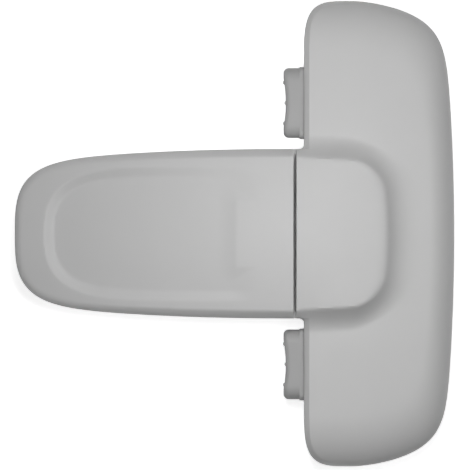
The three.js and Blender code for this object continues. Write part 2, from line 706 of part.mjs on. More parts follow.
// One upright ear: a round eye on a leg that stands on the base plate's tongue.
function hingeEar(y) {
  const arc = Array.from({ length: ARC_STEPS + 1 }, (_, i) => {
    const angle = (i / ARC_STEPS) * Math.PI;
    return [AXIS_X + EAR_RADIUS * Math.cos(angle), AXIS_Z + EAR_RADIUS * Math.sin(angle)];
  });
  const outline = [...arc, [AXIS_X - EAR_RADIUS, PAD_THICK], [AXIS_X + EAR_RADIUS, PAD_THICK]];
  const leg = profile(outline, y - EAR_THICK / 2, y + EAR_THICK / 2);
  const eye = rod('Y', PIN_RADIUS + CLEAR, y - EAR_THICK, y + EAR_THICK, [AXIS_X, AXIS_Z]);
  return leg.subtract(eye);
}

function armPad() {
  const pad = plate(armOutline(ARM_PAD_INSET), 0, PAD_THICK);
  return pad.subtract(box(AXIS_X - HINGE_BACK - WALL, AXIS_X, -ARM_HALF, ARM_HALF, -OVERRUN, BED_Z));
}

// Pieces of the handle

function handleCover() {
  const skin = solid(headSkin(FINE));
  const below = solid(headSkin(COARSE)).translate([0, 0, -WALL]);
  const room = plate(headOutline(WALL), HEAD_Z - OVERRUN, CROWN_Z);
  const hingeBlock = box(
    HEAD_WALL_X - WALL, HINGE_BLOCK_X,
    -HINGE_BLOCK_HALF, HINGE_BLOCK_HALF,
    0, CROWN_Z + OVERRUN,
  );
  const hollow = below.intersect(room).subtract(hingeBlock);
  const seat = plate(headOutline(WALL), HEAD_Z - OVERRUN, BACK_Z).subtract(hingeBlock);
  const midWall = below.translate([0, 0, WALL / 2]);
  const bosses = HEAD_SCREWS.map(([x, y]) => boss(x, y, BACK_Z + CLEAR, CROWN_Z).intersect(midWall));
  const stops = [-1, 1].map((side) => springStop(side).intersect(midWall));
  const holes = HEAD_SCREWS.map(([x, y]) => screwHole(x, y, HEAD_Z));
  const windows = [-1, 1].map(buttonWindow);
  const pockets = [-EAR_Y, EAR_Y].map(earPocket);
  const boreHalf = HINGE_BLOCK_HALF + OVERRUN;
  const bore = rod('Y', PIN_RADIUS + PIN_FIT, -boreHalf, boreHalf, [AXIS_X, AXIS_Z]);
  const shell = skin.subtract(hollow).subtract(seat);
  return without(unite([shell, ...bosses, ...stops]), [...holes, ...windows, ...pockets, bore]);
}

// Room for an ear and for its leg while the handle turns a quarter about it.
function earPocket(y) {
  const half = EAR_THICK / 2 + EAR_FIT;
  const arc = Array.from({ length: ARC_STEPS / 2 + 1 }, (_, i) => {
    const angle = (i / ARC_STEPS) * Math.PI;
    return [AXIS_X + POCKET_RADIUS * Math.cos(angle), AXIS_Z + POCKET_RADIUS * Math.sin(angle)];
  });
  const left = AXIS_X - barrelRadius(0) - OVERRUN;
  const outline = [
    ...arc,
    [left, AXIS_Z + POCKET_RADIUS],
    [left, HEAD_Z - OVERRUN],
    [AXIS_X + POCKET_RADIUS, HEAD_Z - OVERRUN],
  ];
  return profile(outline, y - half, y + half);
}

// A rounded block along X that the button fills and its window clears.
function buttonBlock(x0, x1, margin) {
  const half = BUTTON_LENGTH / 2 + BUTTON_STEP + margin;
  const outline = roundedRect(
    BUTTON_Y - half, BUTTON_Y + half,
    BUTTON_LOW - margin, BUTTON_LOW + BUTTON_TALL + margin,
    BUTTON_CORNER + margin, 3,
  );
  return carriedAlongX(outline, x0, x1);
}

function buttonWindow(side) {
  const cut = buttonBlock(HEAD_WALL_X - OVERRUN, HEAD_WALL_X + WALL + OVERRUN, CLEAR);
  return side > 0 ? cut : cut.mirror([0, 1, 0]);
}

// A wall that the spring pushes against, with a peg that holds it in line.
function springStop(side) {
  const y = side * BUTTON_Y;
  const wall = box(
    SPRING_END_X + CLEAR, SPRING_END_X + CLEAR + SPRING_STOP_THICK,
    y - SPRING_STOP_HALF, y + SPRING_STOP_HALF,
    SLIDE_TOP_Z + SLIDE_GAP, CROWN_Z,
  );
  const pegX = SPRING_END_X + CLEAR - PEG_LENGTH;
  const peg = rod('X', PEG_RADIUS, pegX, SPRING_END_X + OVERRUN, [y, SPRING_Z], SMALL_SIDES);
  return wall.add(peg);
}

function handleBack() {
  const sheet = plate(headOutline(WALL + CLEAR), HEAD_Z, BACK_Z);
  const hingeGap = box(
    HEAD_WALL_X, HINGE_BLOCK_X + CLEAR,
    -HINGE_BLOCK_HALF - CLEAR, HINGE_BLOCK_HALF + CLEAR,
    0, BACK_Z + OVERRUN,
  );
  const holes = HEAD_SCREWS.map(([x, y]) => screwHole(x, y, HEAD_Z));
  const windows = [-BUTTON_Y, BUTTON_Y].map((y) => box(
    hookPathX(HEAD_Z) - CLEAR, HOOK_X + HOOK_NOSE + HOOK_PLAY,
    y - HOOK_WIDE / 2 - HOOK_PLAY, y + HOOK_WIDE / 2 + HOOK_PLAY,
    0, BACK_Z + OVERRUN,
  ));
  return without(sheet, [hingeGap, ...holes, ...windows]);
}

const hookTopZ = SLIDE_TOP_Z + CLEAR + HOOK_NOSE_EDGE + HOOK_RAMP;

// Where the hook's inner top corner crosses a level of the handle as the handle swings up.
function hookPathX(z) {
  const reach = Math.hypot(HOOK_X - HOOK_LEAF - AXIS_X, AXIS_Z - hookTopZ);
  return AXIS_X + Math.sqrt(reach ** 2 - (AXIS_Z - z) ** 2);
}

// A button: ribbed finger pad, flange behind the wall, and a slide that the hook catches.
function button(side) {
  const pad = fingerPad();
  const inner = buttonBlock(BUTTON_STEP_X, FLANGE_BACK_X, 0).translate([0, -BUTTON_Y, 0]);
  const lip = BUTTON_STEP + FLANGE_LIP;
  const flange = box(
    FLANGE_X, FLANGE_BACK_X,
    -BUTTON_LENGTH / 2 - lip, BUTTON_LENGTH / 2 + lip,
    SLIDE_Z, BUTTON_LOW + BUTTON_TALL + FLANGE_LIP,
  );
  const windowHalf = HOOK_WIDE / 2 + HOOK_PLAY;
  const slideEnd = HOOK_X + HOOK_PLAY + SLIDE_BAR;
  const slide = box(
    FLANGE_X, slideEnd,
    -windowHalf - SLIDE_RAIL, windowHalf + SLIDE_RAIL,
    SLIDE_Z, SLIDE_TOP_Z,
  );
  const window = box(
    hookPathX(SLIDE_Z) - BUTTON_TRAVEL - CLEAR, HOOK_X + HOOK_PLAY,
    -windowHalf, windowHalf,
    0, CROWN_Z,
  );
  const peg = rod('X', PEG_RADIUS, FLANGE_X, FLANGE_BACK_X + PEG_LENGTH, [0, SPRING_Z], SMALL_SIDES);
  const whole = unite([pad, inner, flange, slide.subtract(window), peg]).translate([0, BUTTON_Y, 0]);
  return side > 0 ? whole : whole.mirror([0, 1, 0]);
}

// The part that the finger meets: flat ends, a hollow between them, and three ribs.
function fingerPad() {
  const half = BUTTON_LENGTH / 2;
  const hollowHalf = half - BUTTON_FLAT;
  const face = steps(-hollowHalf, hollowHalf, 12).map((y) => {
    const t = y / hollowHalf;
    return [BUTTON_FACE_X + BUTTON_HOLLOW * (1 - t * t), y];
  });
  const outline = [
    [BUTTON_STEP_X + OVERRUN, -half],
    [BUTTON_STEP_X + OVERRUN, half],
    [BUTTON_FACE_X + BUTTON_BEVEL, half],
    [BUTTON_FACE_X, half - BUTTON_BEVEL],
    ...face.reverse(),
    [BUTTON_FACE_X, -hollowHalf],
    [BUTTON_FACE_X, -half + BUTTON_BEVEL],
    [BUTTON_FACE_X + BUTTON_BEVEL, -half],
  ];
  const shape = new THREE.Shape(outline.map(([x, y]) => new THREE.Vector2(x, y)));
  const geometry = new THREE.ExtrudeGeometry(shape, {
    depth: BUTTON_TALL - 2 * BUTTON_BEVEL,
    bevelThickness: BUTTON_BEVEL,
    bevelSize: BUTTON_BEVEL,
    bevelOffset: -BUTTON_BEVEL,
    bevelSegments: 2,
  });
  const ends = carriedAlongX(
    roundedRect(-half, half, BUTTON_LOW, BUTTON_LOW + BUTTON_TALL, BUTTON_END_ROUND, ARC_STEPS / 3),
    BUTTON_FACE_X - OVERRUN, BUTTON_STEP_X + 2 * OVERRUN,
  );
  const body = solid(geometry.translate(0, 0, BUTTON_LOW + BUTTON_BEVEL)).intersect(ends);
  const [ribLow, ribTop] = [BUTTON_LOW + BUTTON_BEVEL, BUTTON_LOW + BUTTON_TALL - BUTTON_BEVEL];
  const ribs = [-RIB_PITCH, 0, RIB_PITCH].map((y) => {
    const x = BUTTON_FACE_X + BUTTON_HOLLOW * (1 - (y / hollowHalf) ** 2) + RIB_RADIUS - RIB_PROUD;
    return rod('Z', RIB_RADIUS, ribLow, ribTop, [x, y], SMALL_SIDES);
  });
  return unite([body, ...ribs]);
}

class Helix extends THREE.Curve {
  getPoint(t, target = new THREE.Vector3()) {
    const angle = 2 * Math.PI * SPRING_TURNS * t;
    const along = mix(SPRING_X + WIRE_RADIUS, SPRING_END_X - WIRE_RADIUS, t);
    return target.set(along, SPRING_RADIUS * Math.cos(angle), SPRING_RADIUS * Math.sin(angle));
  }
}

function spring(side) {
  const section = new THREE.Shape(ringOf(WIRE_RADIUS, 5));
  const geometry = new THREE.ExtrudeGeometry(section, {
    steps: 8 * SPRING_TURNS,
    extrudePath: new Helix(),
    bevelEnabled: false,
  });
  return solid(geometry.translate(0, side * BUTTON_Y, SPRING_Z));
}

function ringOf(radius, sides) {
  return Array.from({ length: sides }, (_, i) => {
    const angle = (i / sides) * 2 * Math.PI;
    return new THREE.Vector2(radius * Math.cos(angle), radius * Math.sin(angle));
  });
}

// Pieces of the keeper

// The keeper's outline with a notch for the tongue of the arm's base plate.
function keeperSheet(z0, z1) {
  const outline = roundedRect(KEEPER_LEFT_X, KEEPER_RIGHT_X, -KEEPER_HALF, KEEPER_HALF, KEEPER_CORNER);
  const notch = box(
    ARM_EDGE_X, AXIS_X + EAR_RADIUS + CLEAR,
    -TONGUE_PLATE_HALF - CLEAR, TONGUE_PLATE_HALF + CLEAR,
    z0 - OVERRUN, z1 + OVERRUN,
  );
  return plate(outline, z0, z1).subtract(notch);
}

function keeperPlate() {
  const cuts = [-BUTTON_Y, BUTTON_Y].flatMap((y) => [
    hookLeafBox(y, CLEAR, PAD_THICK - OVERRUN, BED_Z + OVERRUN),
    hookFootBox(y, CLEAR, PAD_THICK - OVERRUN, PAD_THICK + HOOK_FOOT_THICK + CLEAR),
  ]);
  return without(keeperSheet(PAD_THICK, BED_Z), cuts);
}

function hookLeafBox(y, margin, z0, z1) {
  return box(
    HOOK_X - HOOK_LEAF - margin, HOOK_X + margin,
    y - HOOK_WIDE / 2 - margin, y + HOOK_WIDE / 2 + margin,
    z0, z1,
  );
}

function hookFootBox(y, margin, z0, z1) {
  return box(
    HOOK_X - HOOK_LEAF - HOOK_FOOT - margin, HOOK_X + HOOK_FOOT + margin,
    y - HOOK_WIDE / 2 - margin, y + HOOK_WIDE / 2 + margin,
    z0, z1,
  );
}

const keeperPad = () => keeperSheet(0, PAD_THICK);

// A springy hook that stands in the keeper and catches the button's slide.
function catchHook(side) {
  const y = side * BUTTON_Y;
  const noseZ = SLIDE_TOP_Z + CLEAR;
  const outline = [
    [HOOK_X - HOOK_LEAF, PAD_THICK],
    [HOOK_X, PAD_THICK],
    [HOOK_X, noseZ],
    [HOOK_X + HOOK_NOSE, noseZ],
    [HOOK_X + HOOK_NOSE, noseZ + HOOK_NOSE_EDGE],
    [HOOK_X - HOOK_LEAF / 2, hookTopZ],
    [HOOK_X - HOOK_LEAF, hookTopZ],
  ];
  const leaf = profile(outline, y - HOOK_WIDE / 2, y + HOOK_WIDE / 2);
  return leaf.add(hookFootBox(y, 0, PAD_THICK, PAD_THICK + HOOK_FOOT_THICK));
}

// Materials

const plastic = (color, roughness) => new THREE.MeshStandardMaterial({ color, roughness, metalness: 0 });
const shellGrey = plastic(0xc4c4c4, 0.5);
const buttonGrey = plastic(0xa6a6a6, 0.5);
const innerGrey = plastic(0xb0b0b0, 0.6);
const hookWhite = plastic(0xe6e4de, 0.4);
const foamWhite = plastic(0xf2f2f2, 0.9);
const steel = new THREE.MeshStandardMaterial({ color: 0xb8bcc0, roughness: 0.3, metalness: 1 });

// The assembly

const lock = new THREE.Group();

function place(name, manifold, material) {
  const mesh = new THREE.Mesh(geometryOf(manifold), material);
  mesh.name = name;
  lock.add(mesh);
}

place('arm_cover', armCover(), shellGrey);
place('arm_base', armBase(), innerGrey);
place('arm_adhesive_pad', armPad(), foamWhite);
ARM_SCREWS.forEach(([x, y], i) => place(`arm_screw_${i + 1}`, screw(x, y, PAD_THICK), steel));

place('handle_cover', handleCover(), shellGrey);
place('handle_back', handleBack(), innerGrey);
place('hinge_pin', rod('Y', PIN_RADIUS, -PIN_HALF, PIN_HALF, [AXIS_X, AXIS_Z]), steel);
HEAD_SCREWS.forEach(([x, y], i) => place(`handle_screw_${i + 1}`, screw(x, y, HEAD_Z), steel));

for (const [side, name] of [[1, 'upper'], [-1, 'lower']]) {
  place(`button_${name}`, button(side), buttonGrey);
  place(`button_spring_${name}`, spring(side), steel);
  place(`catch_hook_${name}`, catchHook(side), hookWhite);
}

place('keeper_plate', keeperPlate(), innerGrey);
place('keeper_adhesive_pad', keeperPad(), foamWhite);

export default lock;
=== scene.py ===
"""Looks of the refrigerator lock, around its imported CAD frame.

The lock lies on its back: +X from the arm to the handle, +Y along the handle, +Z to the person.
Sizes are in millimetres and become metres where a mesh or a place is made.
"""

import math

import bpy
import numpy as np
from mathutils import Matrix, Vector

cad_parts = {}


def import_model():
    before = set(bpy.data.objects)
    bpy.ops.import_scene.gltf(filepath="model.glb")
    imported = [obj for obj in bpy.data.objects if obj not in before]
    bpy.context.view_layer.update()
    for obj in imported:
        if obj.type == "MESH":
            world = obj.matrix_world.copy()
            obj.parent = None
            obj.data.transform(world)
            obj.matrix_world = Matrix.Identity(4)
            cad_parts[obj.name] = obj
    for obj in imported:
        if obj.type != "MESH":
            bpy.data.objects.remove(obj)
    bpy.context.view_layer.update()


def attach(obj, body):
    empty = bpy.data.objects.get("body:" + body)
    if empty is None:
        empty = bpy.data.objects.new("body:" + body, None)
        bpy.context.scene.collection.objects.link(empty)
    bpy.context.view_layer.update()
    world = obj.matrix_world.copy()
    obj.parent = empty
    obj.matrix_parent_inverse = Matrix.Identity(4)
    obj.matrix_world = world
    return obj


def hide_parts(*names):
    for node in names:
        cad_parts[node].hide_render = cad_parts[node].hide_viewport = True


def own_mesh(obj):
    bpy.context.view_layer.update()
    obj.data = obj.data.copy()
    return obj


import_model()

MM = 0.001

# The lock's sizes: the CAD's, but for small ones that follow the photograph more closely

CLEAR = 0.3
OVERRUN = 1.0
PAD_THICK = 1.0
BED_Z = 3.0
WALL = 2.0
SEAM_X = 14.75
SEAM_GAP = 0.62
CROWN_Z = 24.0
CROSS_RADIUS = 88.0
EDGE_STRAIGHT = 0.75

ARM_TIP_X = -53.8
ARM_WIDE_X = 11.2
ARM_HALF = 20.7
ARM_TAPER = 3.27
ARM_TIP_POWERS = (10.36, 3.27)
ARM_CROWN_RADIUS = 190.0
ARM_EDGE_WIDE = 1.9
ARM_EDGE_DEEP = 2.8
ARM_TIP_EDGE_DEEP = 1.2
ARM_TIP_EASE = 30.0
ARM_STRAIGHT_EASE = 80.0

DISH_TIP_X = -46.7
DISH_WIDE_X = -10.0
DISH_HALF = 16.5
DISH_TAPER = 1.0
DISH_TIP_POWERS = (5.2, 2.5)
DISH_WALL = 2.6
DISH_EASE = 0.15
DISH_DEPTH = 1.9
DISH_END_DEPTH = 0.6
DISH_END_X = 0.4
DISH_FADE = 8.0
DISH_PAST_END = 6.0
ISLAND_HALF = 12.8
ISLAND_CORNER = 5.0
ISLAND_WALL = 4.6

HEAD_Z = 3.6
BACK_Z = 5.4
HEAD_WALL_X = 17.0
HEAD_RIGHT_X = 53.9
HEAD_TIP_X = 28.9
HEAD_HALF = 57.05
HEAD_TAPER = 3.15
HEAD_PALM_POWERS = (12.4, 1.5)
HEAD_CORNER_Y = 42.1
HEAD_CORNER_POWERS = (3.85, 3.9)
WING_Z = 17.0
WING_RADIUS = 280.0
FINGER_EDGE = 1.3
FINGER_EDGE_DEEP = 1.6
PALM_EDGE = 6.0
TIP_EDGE = 12.6
ROLL_DEEP = 8.5
HEAD_CROWN_RADIUS = 110.0
BLOCK_CROSS_RADIUS = 240.0
BLOCK_EASE = 12.0
BLOCK_X = 36.5
BLOCK_HALF = 18.75
BLOCK_TAPER = 1.3
BLOCK_CORNER = 6.3
BLOCK_BOW = 90.0
TONGUE_FILLET = 1.3

# How the block falls to the wing: how far inside its line the fall begins, how wide its convex
# shoulder and its hollow valley are, and the power of each curve
BLOCK_PALM_SIDE = (3.7, 5.0, 12.0, 7.0, 4.6)
BLOCK_FLANK_SIDE = (0.3, 0.8, 5.2, 1.6, 1.6)

HINGE_BACK = 5.28
HINGE_DEPTH = 4.4
SWEEP_GAP = 0.45
FOOT_GAP = 0.5
FOOT_Z = 17.0
EAR_RADIUS = 2.3
EAR_THICK = 3.0
EAR_Y = 9.0
EAR_FIT = 0.4
TONGUE_PLATE_HALF = 13.0
HINGE_BLOCK_HALF = 16.0

ARM_EDGE_X = SEAM_X - SEAM_GAP / 2
HEAD_EDGE_X = SEAM_X + SEAM_GAP / 2
AXIS_X = HEAD_EDGE_X + HINGE_BACK
AXIS_Z = CROWN_Z - HINGE_DEPTH
POCKET_RADIUS = EAR_RADIUS + EAR_FIT
HINGE_BLOCK_X = AXIS_X + POCKET_RADIUS + WALL

# What only the scene has: softened edges and how finely skins are divided

SEAM_EDGE = 0.3
TIP_TRIM = 0.004
SHARP_ANGLE = math.radians(32)
COIL_SHARP_ANGLE = math.radians(60)
BEVEL_ANGLE = math.radians(50)
BEVEL_SEGMENTS = 3
ROUND_SIDES = 48
RIB_SIDES = 32
CORNER_STEPS = 8
KEEPER_CORNER_STEPS = 24
EAR_QUARTER_STEPS = 16
OUTLINE_STEPS = 60
HALF_OUTLINE_POINTS = 161
SEAM_STEPS = 4
FINE_BAND = 1.4
SEARCH_HALVINGS = 24
CUP_SIDES = 192
CUP_RINGS = 91

# The finger pad's face in rings about its middle, its bevel, and points along its outline
PAD_MIDDLE = 0.02
PAD_FACE_RINGS = 20
PAD_BEVEL_RINGS = 9
PAD_CORNER_STEPS = 12
PAD_LONG_POINTS = 40
PAD_SHORT_POINTS = 4


# Numbers


def clamp01(t):
    return np.clip(t, 0.0, 1.0)


def smooth(t):
    t = clamp01(t)
    return t * t * (3 - 2 * t)


def mix(a, b, t):
    return a + (b - a) * t


def roll(t):
    """A quarter ellipse from 0 to 1."""
    return 1 - np.sqrt(1 - clamp01(t) ** 2)


def eased(t, share):
    """A straight climb from 0 to 1 whose two ends are rounded over a share of it."""
    t = clamp01(t)
    round_end = 2 * share * (1 - share)
    middle = (t - share / 2) / (1 - share)
    late = np.where(t > 1 - share, 1 - (1 - t) ** 2 / round_end, middle)
    return np.where(t < share, t**2 / round_end, late)


def edge_share(inside, wide, straight=EDGE_STRAIGHT):
    """How far an edge has fallen at a distance inside its outline: straight in part, then round."""
    t = clamp01(1 - inside / wide)
    return mix(roll(t), t, straight)


def arm_edge_drop(inside, x):
    """The fall of the arm's edge, which is less at the tip and softer towards it."""
    deep = mix(ARM_TIP_EDGE_DEEP, ARM_EDGE_DEEP, smooth((x - ARM_TIP_X) / ARM_TIP_EASE))
    straight = EDGE_STRAIGHT * smooth((x - ARM_TIP_X) / ARM_STRAIGHT_EASE)
    return deep * edge_share(inside, ARM_EDGE_WIDE, straight)


def blunt_end(t, powers):
    """From 1 to 0 along an outline: how late it turns in, and how square its corner is."""
    late, square = powers
    return (1 - t**late) ** (1 / square)


def stretch(*parts):
    """Joins runs of numbers, leaving out the first of each run after the first."""
    return np.concatenate([parts[0], *[p[1:] for p in parts[1:]]])


def crowded_end(a, b, n):
    """From a to b in n steps that shorten towards b as a round edge needs."""
    return a + (b - a) * np.sin(np.linspace(0, math.pi / 2, n + 1))


# Outlines in plan


def blunt_half(x, tip_x, wide_x, half, taper, powers):
    t = clamp01((wide_x - x) / (wide_x - tip_x))
    return (half - taper * t * t) * blunt_end(t, powers)


def arm_half(x):
    return blunt_half(x, ARM_TIP_X, ARM_WIDE_X, ARM_HALF, ARM_TAPER, ARM_TIP_POWERS)


def dish_half(x):
    return blunt_half(x, DISH_TIP_X, DISH_WIDE_X, DISH_HALF, DISH_TAPER, DISH_TIP_POWERS)


def half_outline(half, tip_x, end_x):
    """Points along one side of an outline, crowded at its tip where it turns."""
    x = tip_x + (end_x - tip_x) * np.linspace(0, 1, HALF_OUTLINE_POINTS) ** 3
    return np.column_stack([x, half(x)])


def distance_to(outline, x, y):
    """How far points lie from the nearest part of a half outline."""
    starts = outline[:-1]
    runs = np.diff(outline, axis=0)
    from_start = np.stack(np.broadcast_arrays(x, np.abs(y)), -1)[..., None, :] - starts
    t = clamp01((from_start * runs).sum(-1) / (runs * runs).sum(-1))
    return np.linalg.norm(from_start - t[..., None] * runs, axis=-1).min(-1)


def palm_line(y, in_share):
    """The palm side of the handle, drawn in by a share of the rounding that runs along it."""
    t = np.minimum(1, np.abs(y) / (HEAD_HALF - TIP_EDGE * in_share))
    reach = HEAD_RIGHT_X - PALM_EDGE * in_share - HEAD_TIP_X - HEAD_TAPER * t * t
    return HEAD_TIP_X + reach * blunt_end(t, HEAD_PALM_POWERS)


def head_right(y):
    return palm_line(y, 0)


def head_left(y):
    t = clamp01((np.abs(y) - HEAD_CORNER_Y) / (HEAD_HALF - HEAD_CORNER_Y))
    return HEAD_TIP_X - (HEAD_TIP_X - HEAD_WALL_X) * blunt_end(t, HEAD_CORNER_POWERS)


def across(gap, outline, at):
    """A distance along one axis turned into a distance to the outline."""
    slope = (outline(at + CLEAR) - outline(at - CLEAR)) / (2 * CLEAR)
    return gap / np.hypot(1, slope)


# Top surfaces


def crown_line(x, radius):
    return CROWN_Z - (x - SEAM_X) ** 2 / (2 * radius)


def cross_drop(y):
    return y**2 / (2 * CROSS_RADIUS)


def block_cross_drop(x, y):
    """The block is flatter across than the seam that it starts from."""
    past = smooth((x - HEAD_EDGE_X) / BLOCK_EASE)
    return y**2 * mix(1 / (2 * CROSS_RADIUS), 1 / (2 * BLOCK_CROSS_RADIUS), past)


def rounded_corner(dx, dy):
    """Signed distance to a quarter plane with a round corner at the origin of dx and dy."""
    return np.hypot(np.maximum(dx, 0), np.maximum(dy, 0)) + np.minimum(np.maximum(dx, dy), 0)


ARM_LINE = half_outline(arm_half, ARM_TIP_X, AXIS_X)
DISH_LINE = half_outline(dish_half, DISH_TIP_X, DISH_END_X + DISH_FADE)


def dish_drop(x, y):
    side = np.where(np.abs(y) < dish_half(x), distance_to(DISH_LINE, x, y), 0)
    past = (x - DISH_END_X - DISH_PAST_END) / DISH_FADE + 1
    inside = eased(side / DISH_WALL, DISH_EASE) * (1 - smooth(past))
    along = clamp01((x - DISH_TIP_X) / (DISH_END_X - DISH_TIP_X))
    depth = mix(DISH_DEPTH, DISH_END_DEPTH, along)
    corner = rounded_corner(
        DISH_END_X - ISLAND_WALL + ISLAND_CORNER - x, np.abs(y) - ISLAND_HALF + ISLAND_CORNER
    )
    below_crest = clamp01((corner - ISLAND_CORNER) / ISLAND_WALL + 1)
    return depth * np.minimum(inside, 1 - (1 - below_crest) ** 2)


def arm_top(x, y):
    rounding = arm_edge_drop(distance_to(ARM_LINE, x, y), x)
    seam = SEAM_EDGE * roll(1 - (ARM_EDGE_X - x) / SEAM_EDGE)
    return crown_line(x, ARM_CROWN_RADIUS) - cross_drop(y) - rounding - dish_drop(x, y) - seam


def seam_top(y):
    side = np.minimum(np.abs(y), ARM_HALF)
    return CROWN_Z - cross_drop(side) - arm_edge_drop(ARM_HALF - side, SEAM_X)


def block_share(x, y):
    """1 on the raised block, 0 on the wings: a shoulder over a valley, crisp on the flanks."""
    half = BLOCK_HALF - BLOCK_TAPER * np.maximum(0, x - HEAD_EDGE_X) / (BLOCK_X - HEAD_EDGE_X)
    dx = x - BLOCK_X + y**2 / (2 * BLOCK_BOW) + BLOCK_CORNER
    dy = np.abs(y) - half + BLOCK_CORNER
    reach = np.hypot(np.maximum(dx, 0), np.maximum(dy, 0))
    flank = np.sin(math.pi / 2 * np.maximum(dy, 0) / np.maximum(reach, TIP_TRIM))
    lead, shoulder, valley, late, early = (
        mix(palm, side, flank) for palm, side in zip(BLOCK_PALM_SIDE, BLOCK_FLANK_SIDE)
    )
    past = rounded_corner(dx, dy) - BLOCK_CORNER + lead
    foot = late / shoulder / (late / shoulder + early / valley)
    round_over = 1 - (1 - foot) * clamp01(past / shoulder) ** late
    hollow = foot * clamp01(1 - (past - shoulder) / valley) ** early
    return np.where(past < shoulder, round_over, hollow)


def in_share_at(x, y):
    """How far in from the outline a point lies, as a share of the rounding of palm and tips."""
    x, y = np.broadcast_arrays(np.asarray(x, float), np.asarray(y, float))

    def holds(share):
        return (np.abs(y) < HEAD_HALF - TIP_EDGE * share) & (x < palm_line(y, share))

    low = np.zeros(x.shape)
    high = np.ones(x.shape)
    flat = holds(high)
    for _ in range(SEARCH_HALVINGS):
        middle = (low + high) / 2
        held = holds(middle)
        low = np.where(held, middle, low)
        high = np.where(held, high, middle)
    return np.where(flat, 1.0, low)


def wing_top(x, y):
    rounding = ROLL_DEEP * roll(1 - in_share_at(x, y))
    return WING_Z - (x - HEAD_WALL_X) ** 2 / (2 * WING_RADIUS) - rounding


def head_top(x, y):
    block = crown_line(x, HEAD_CROWN_RADIUS) - block_cross_drop(x, y)
    finger = across(x - head_left(y), head_left, y)
    rounded = np.where(np.abs(y) > ARM_HALF, FINGER_EDGE_DEEP * edge_share(finger, FINGER_EDGE), 0)
    field = mix(wing_top(x, y), block, block_share(x, y)) - rounded
    away = smooth((x - HEAD_EDGE_X) / (HEAD_WALL_X - HEAD_EDGE_X))
    tongue = np.abs(y) < ARM_HALF + TONGUE_FILLET
    seam = np.where(tongue, SEAM_EDGE * roll(1 - (x - HEAD_EDGE_X) / SEAM_EDGE), 0)
    return np.where(tongue, mix(seam_top(y), field, away), field) - seam


def barrel_radius(y):
    return np.hypot(HINGE_BACK, seam_top(y) - AXIS_Z)


# Solids as meshes


def piece(name, points, faces):
    """A mesh object from points in millimetres, its faces turned outward."""
    points = np.asarray(points, float) * MM
    mesh = bpy.data.meshes.new(name)
    mesh.from_pydata(points.tolist(), [], faces)
    mesh.validate()
    mesh.update()
    mesh.calc_loop_triangles()
    volume = 0.0
    for triangle in mesh.loop_triangles:
        a, b, c = (points[i] for i in triangle.vertices)
        volume += a @ np.cross(b, c)
    if volume < 0:
        mesh.flip_normals()
    obj = bpy.data.objects.new(name, mesh)
    bpy.context.scene.collection.objects.link(obj)
    return obj


def loft(name, rings):
    """A closed skin through rings of as many points each, flat at both ends."""
    count = len(rings[0])
    faces = []
    for r in range(len(rings) - 1):
        for i in range(count):
            a, b = r * count + i, r * count + (i + 1) % count
            faces.append((a, b, b + count, a + count))
    last = (len(rings) - 1) * count
    faces.append(tuple(range(count))[::-1])
    faces.append(tuple(range(last, last + count)))
    return piece(name, np.concatenate(rings), faces)


def prism(name, outline, low, high, axis="z"):
    """An outline in the two other axes, carried along one axis from low to high."""
    outline = np.asarray(outline, float)
    order = {"x": (2, 0, 1), "y": (0, 2, 1), "z": (0, 1, 2)}[axis]
    rings = []
    for level in (low, high):
        ring = np.column_stack([outline, np.full(len(outline), float(level))])
        rings.append(ring[:, order])
    return loft(name, rings)


def box(name, x0, x1, y0, y1, z0, z1):
    return prism(name, [(x0, y0), (x1, y0), (x1, y1), (x0, y1)], z0, z1)


def arc(centre, radius, start, end, steps):
    angles = np.radians(np.linspace(start, end, steps + 1))
    return [(centre[0] + radius * math.cos(a), centre[1] + radius * math.sin(a)) for a in angles]


def circle(centre, radius, sides):
    return arc(centre, radius, 0, 360 - 360 / sides, sides - 1)


def rounded_rect(x0, x1, y0, y1, radius, steps=CORNER_STEPS):
    """Counter-clockwise, from the right side's upper corner."""
    return [
        *arc((x1 - radius, y1 - radius), radius, 0, 90, steps),
        *arc((x0 + radius, y1 - radius), radius, 90, 180, steps),
        *arc((x0 + radius, y0 + radius), radius, 180, 270, steps),
        *arc((x1 - radius, y0 + radius), radius, 270, 360, steps),
    ]


def rod(name, axis, radius, low, high, centre, sides=ROUND_SIDES):
    return prism(name, circle(centre, radius, sides), low, high, axis)


def inset(outline, d):
    """A counter-clockwise outline moved in along its normals."""
    p = np.asarray(outline, float)
    along = np.roll(p, -1, axis=0) - np.roll(p, 1, axis=0)
    along /= np.linalg.norm(along, axis=1)[:, None]
    return p + d * np.column_stack([-along[:, 1], along[:, 0]])


def combine(obj, tools, operation):
    """Joins the tools to obj, cuts them from it, or keeps what they share, and removes them."""
    for tool in tools:
        step = obj.modifiers.new(operation, "BOOLEAN")
        step.operation = operation
        step.solver = "MANIFOLD"
        step.object = tool
    return bake_modifiers(obj, tools)


def bake_modifiers(obj, spent=()):
    """Makes what the modifiers give the object's own mesh."""
    shown = obj.evaluated_get(bpy.context.evaluated_depsgraph_get())
    made = bpy.data.meshes.new_from_object(shown)
    obj.modifiers.clear()
    old = obj.data
    obj.data = made
    bpy.data.meshes.remove(old)
    for tool in spent:
        mesh = tool.data
        bpy.data.objects.remove(tool)
        bpy.data.meshes.remove(mesh)
    return obj


def softened(obj, width):
    """Rounds the sharp edges a little, as moulds and cutters leave them."""
    bevel = obj.modifiers.new("softened", "BEVEL")
    bevel.width = width * MM
    bevel.segments = BEVEL_SEGMENTS
    bevel.limit_method = "ANGLE"
    bevel.angle_limit = BEVEL_ANGLE
    bevel.use_clamp_overlap = False
    return smooth_shading(bake_modifiers(obj))


def smooth_shading(obj, angle=SHARP_ANGLE):
    obj.data.shade_smooth()
    obj.data.set_sharp_from_angle(angle=angle)
    return obj


# The arm's cover


def both_sides(half):
    """Numbers from 0 up, with the same ones below 0 before them."""
    return np.concatenate([-half[:0:-1], half])


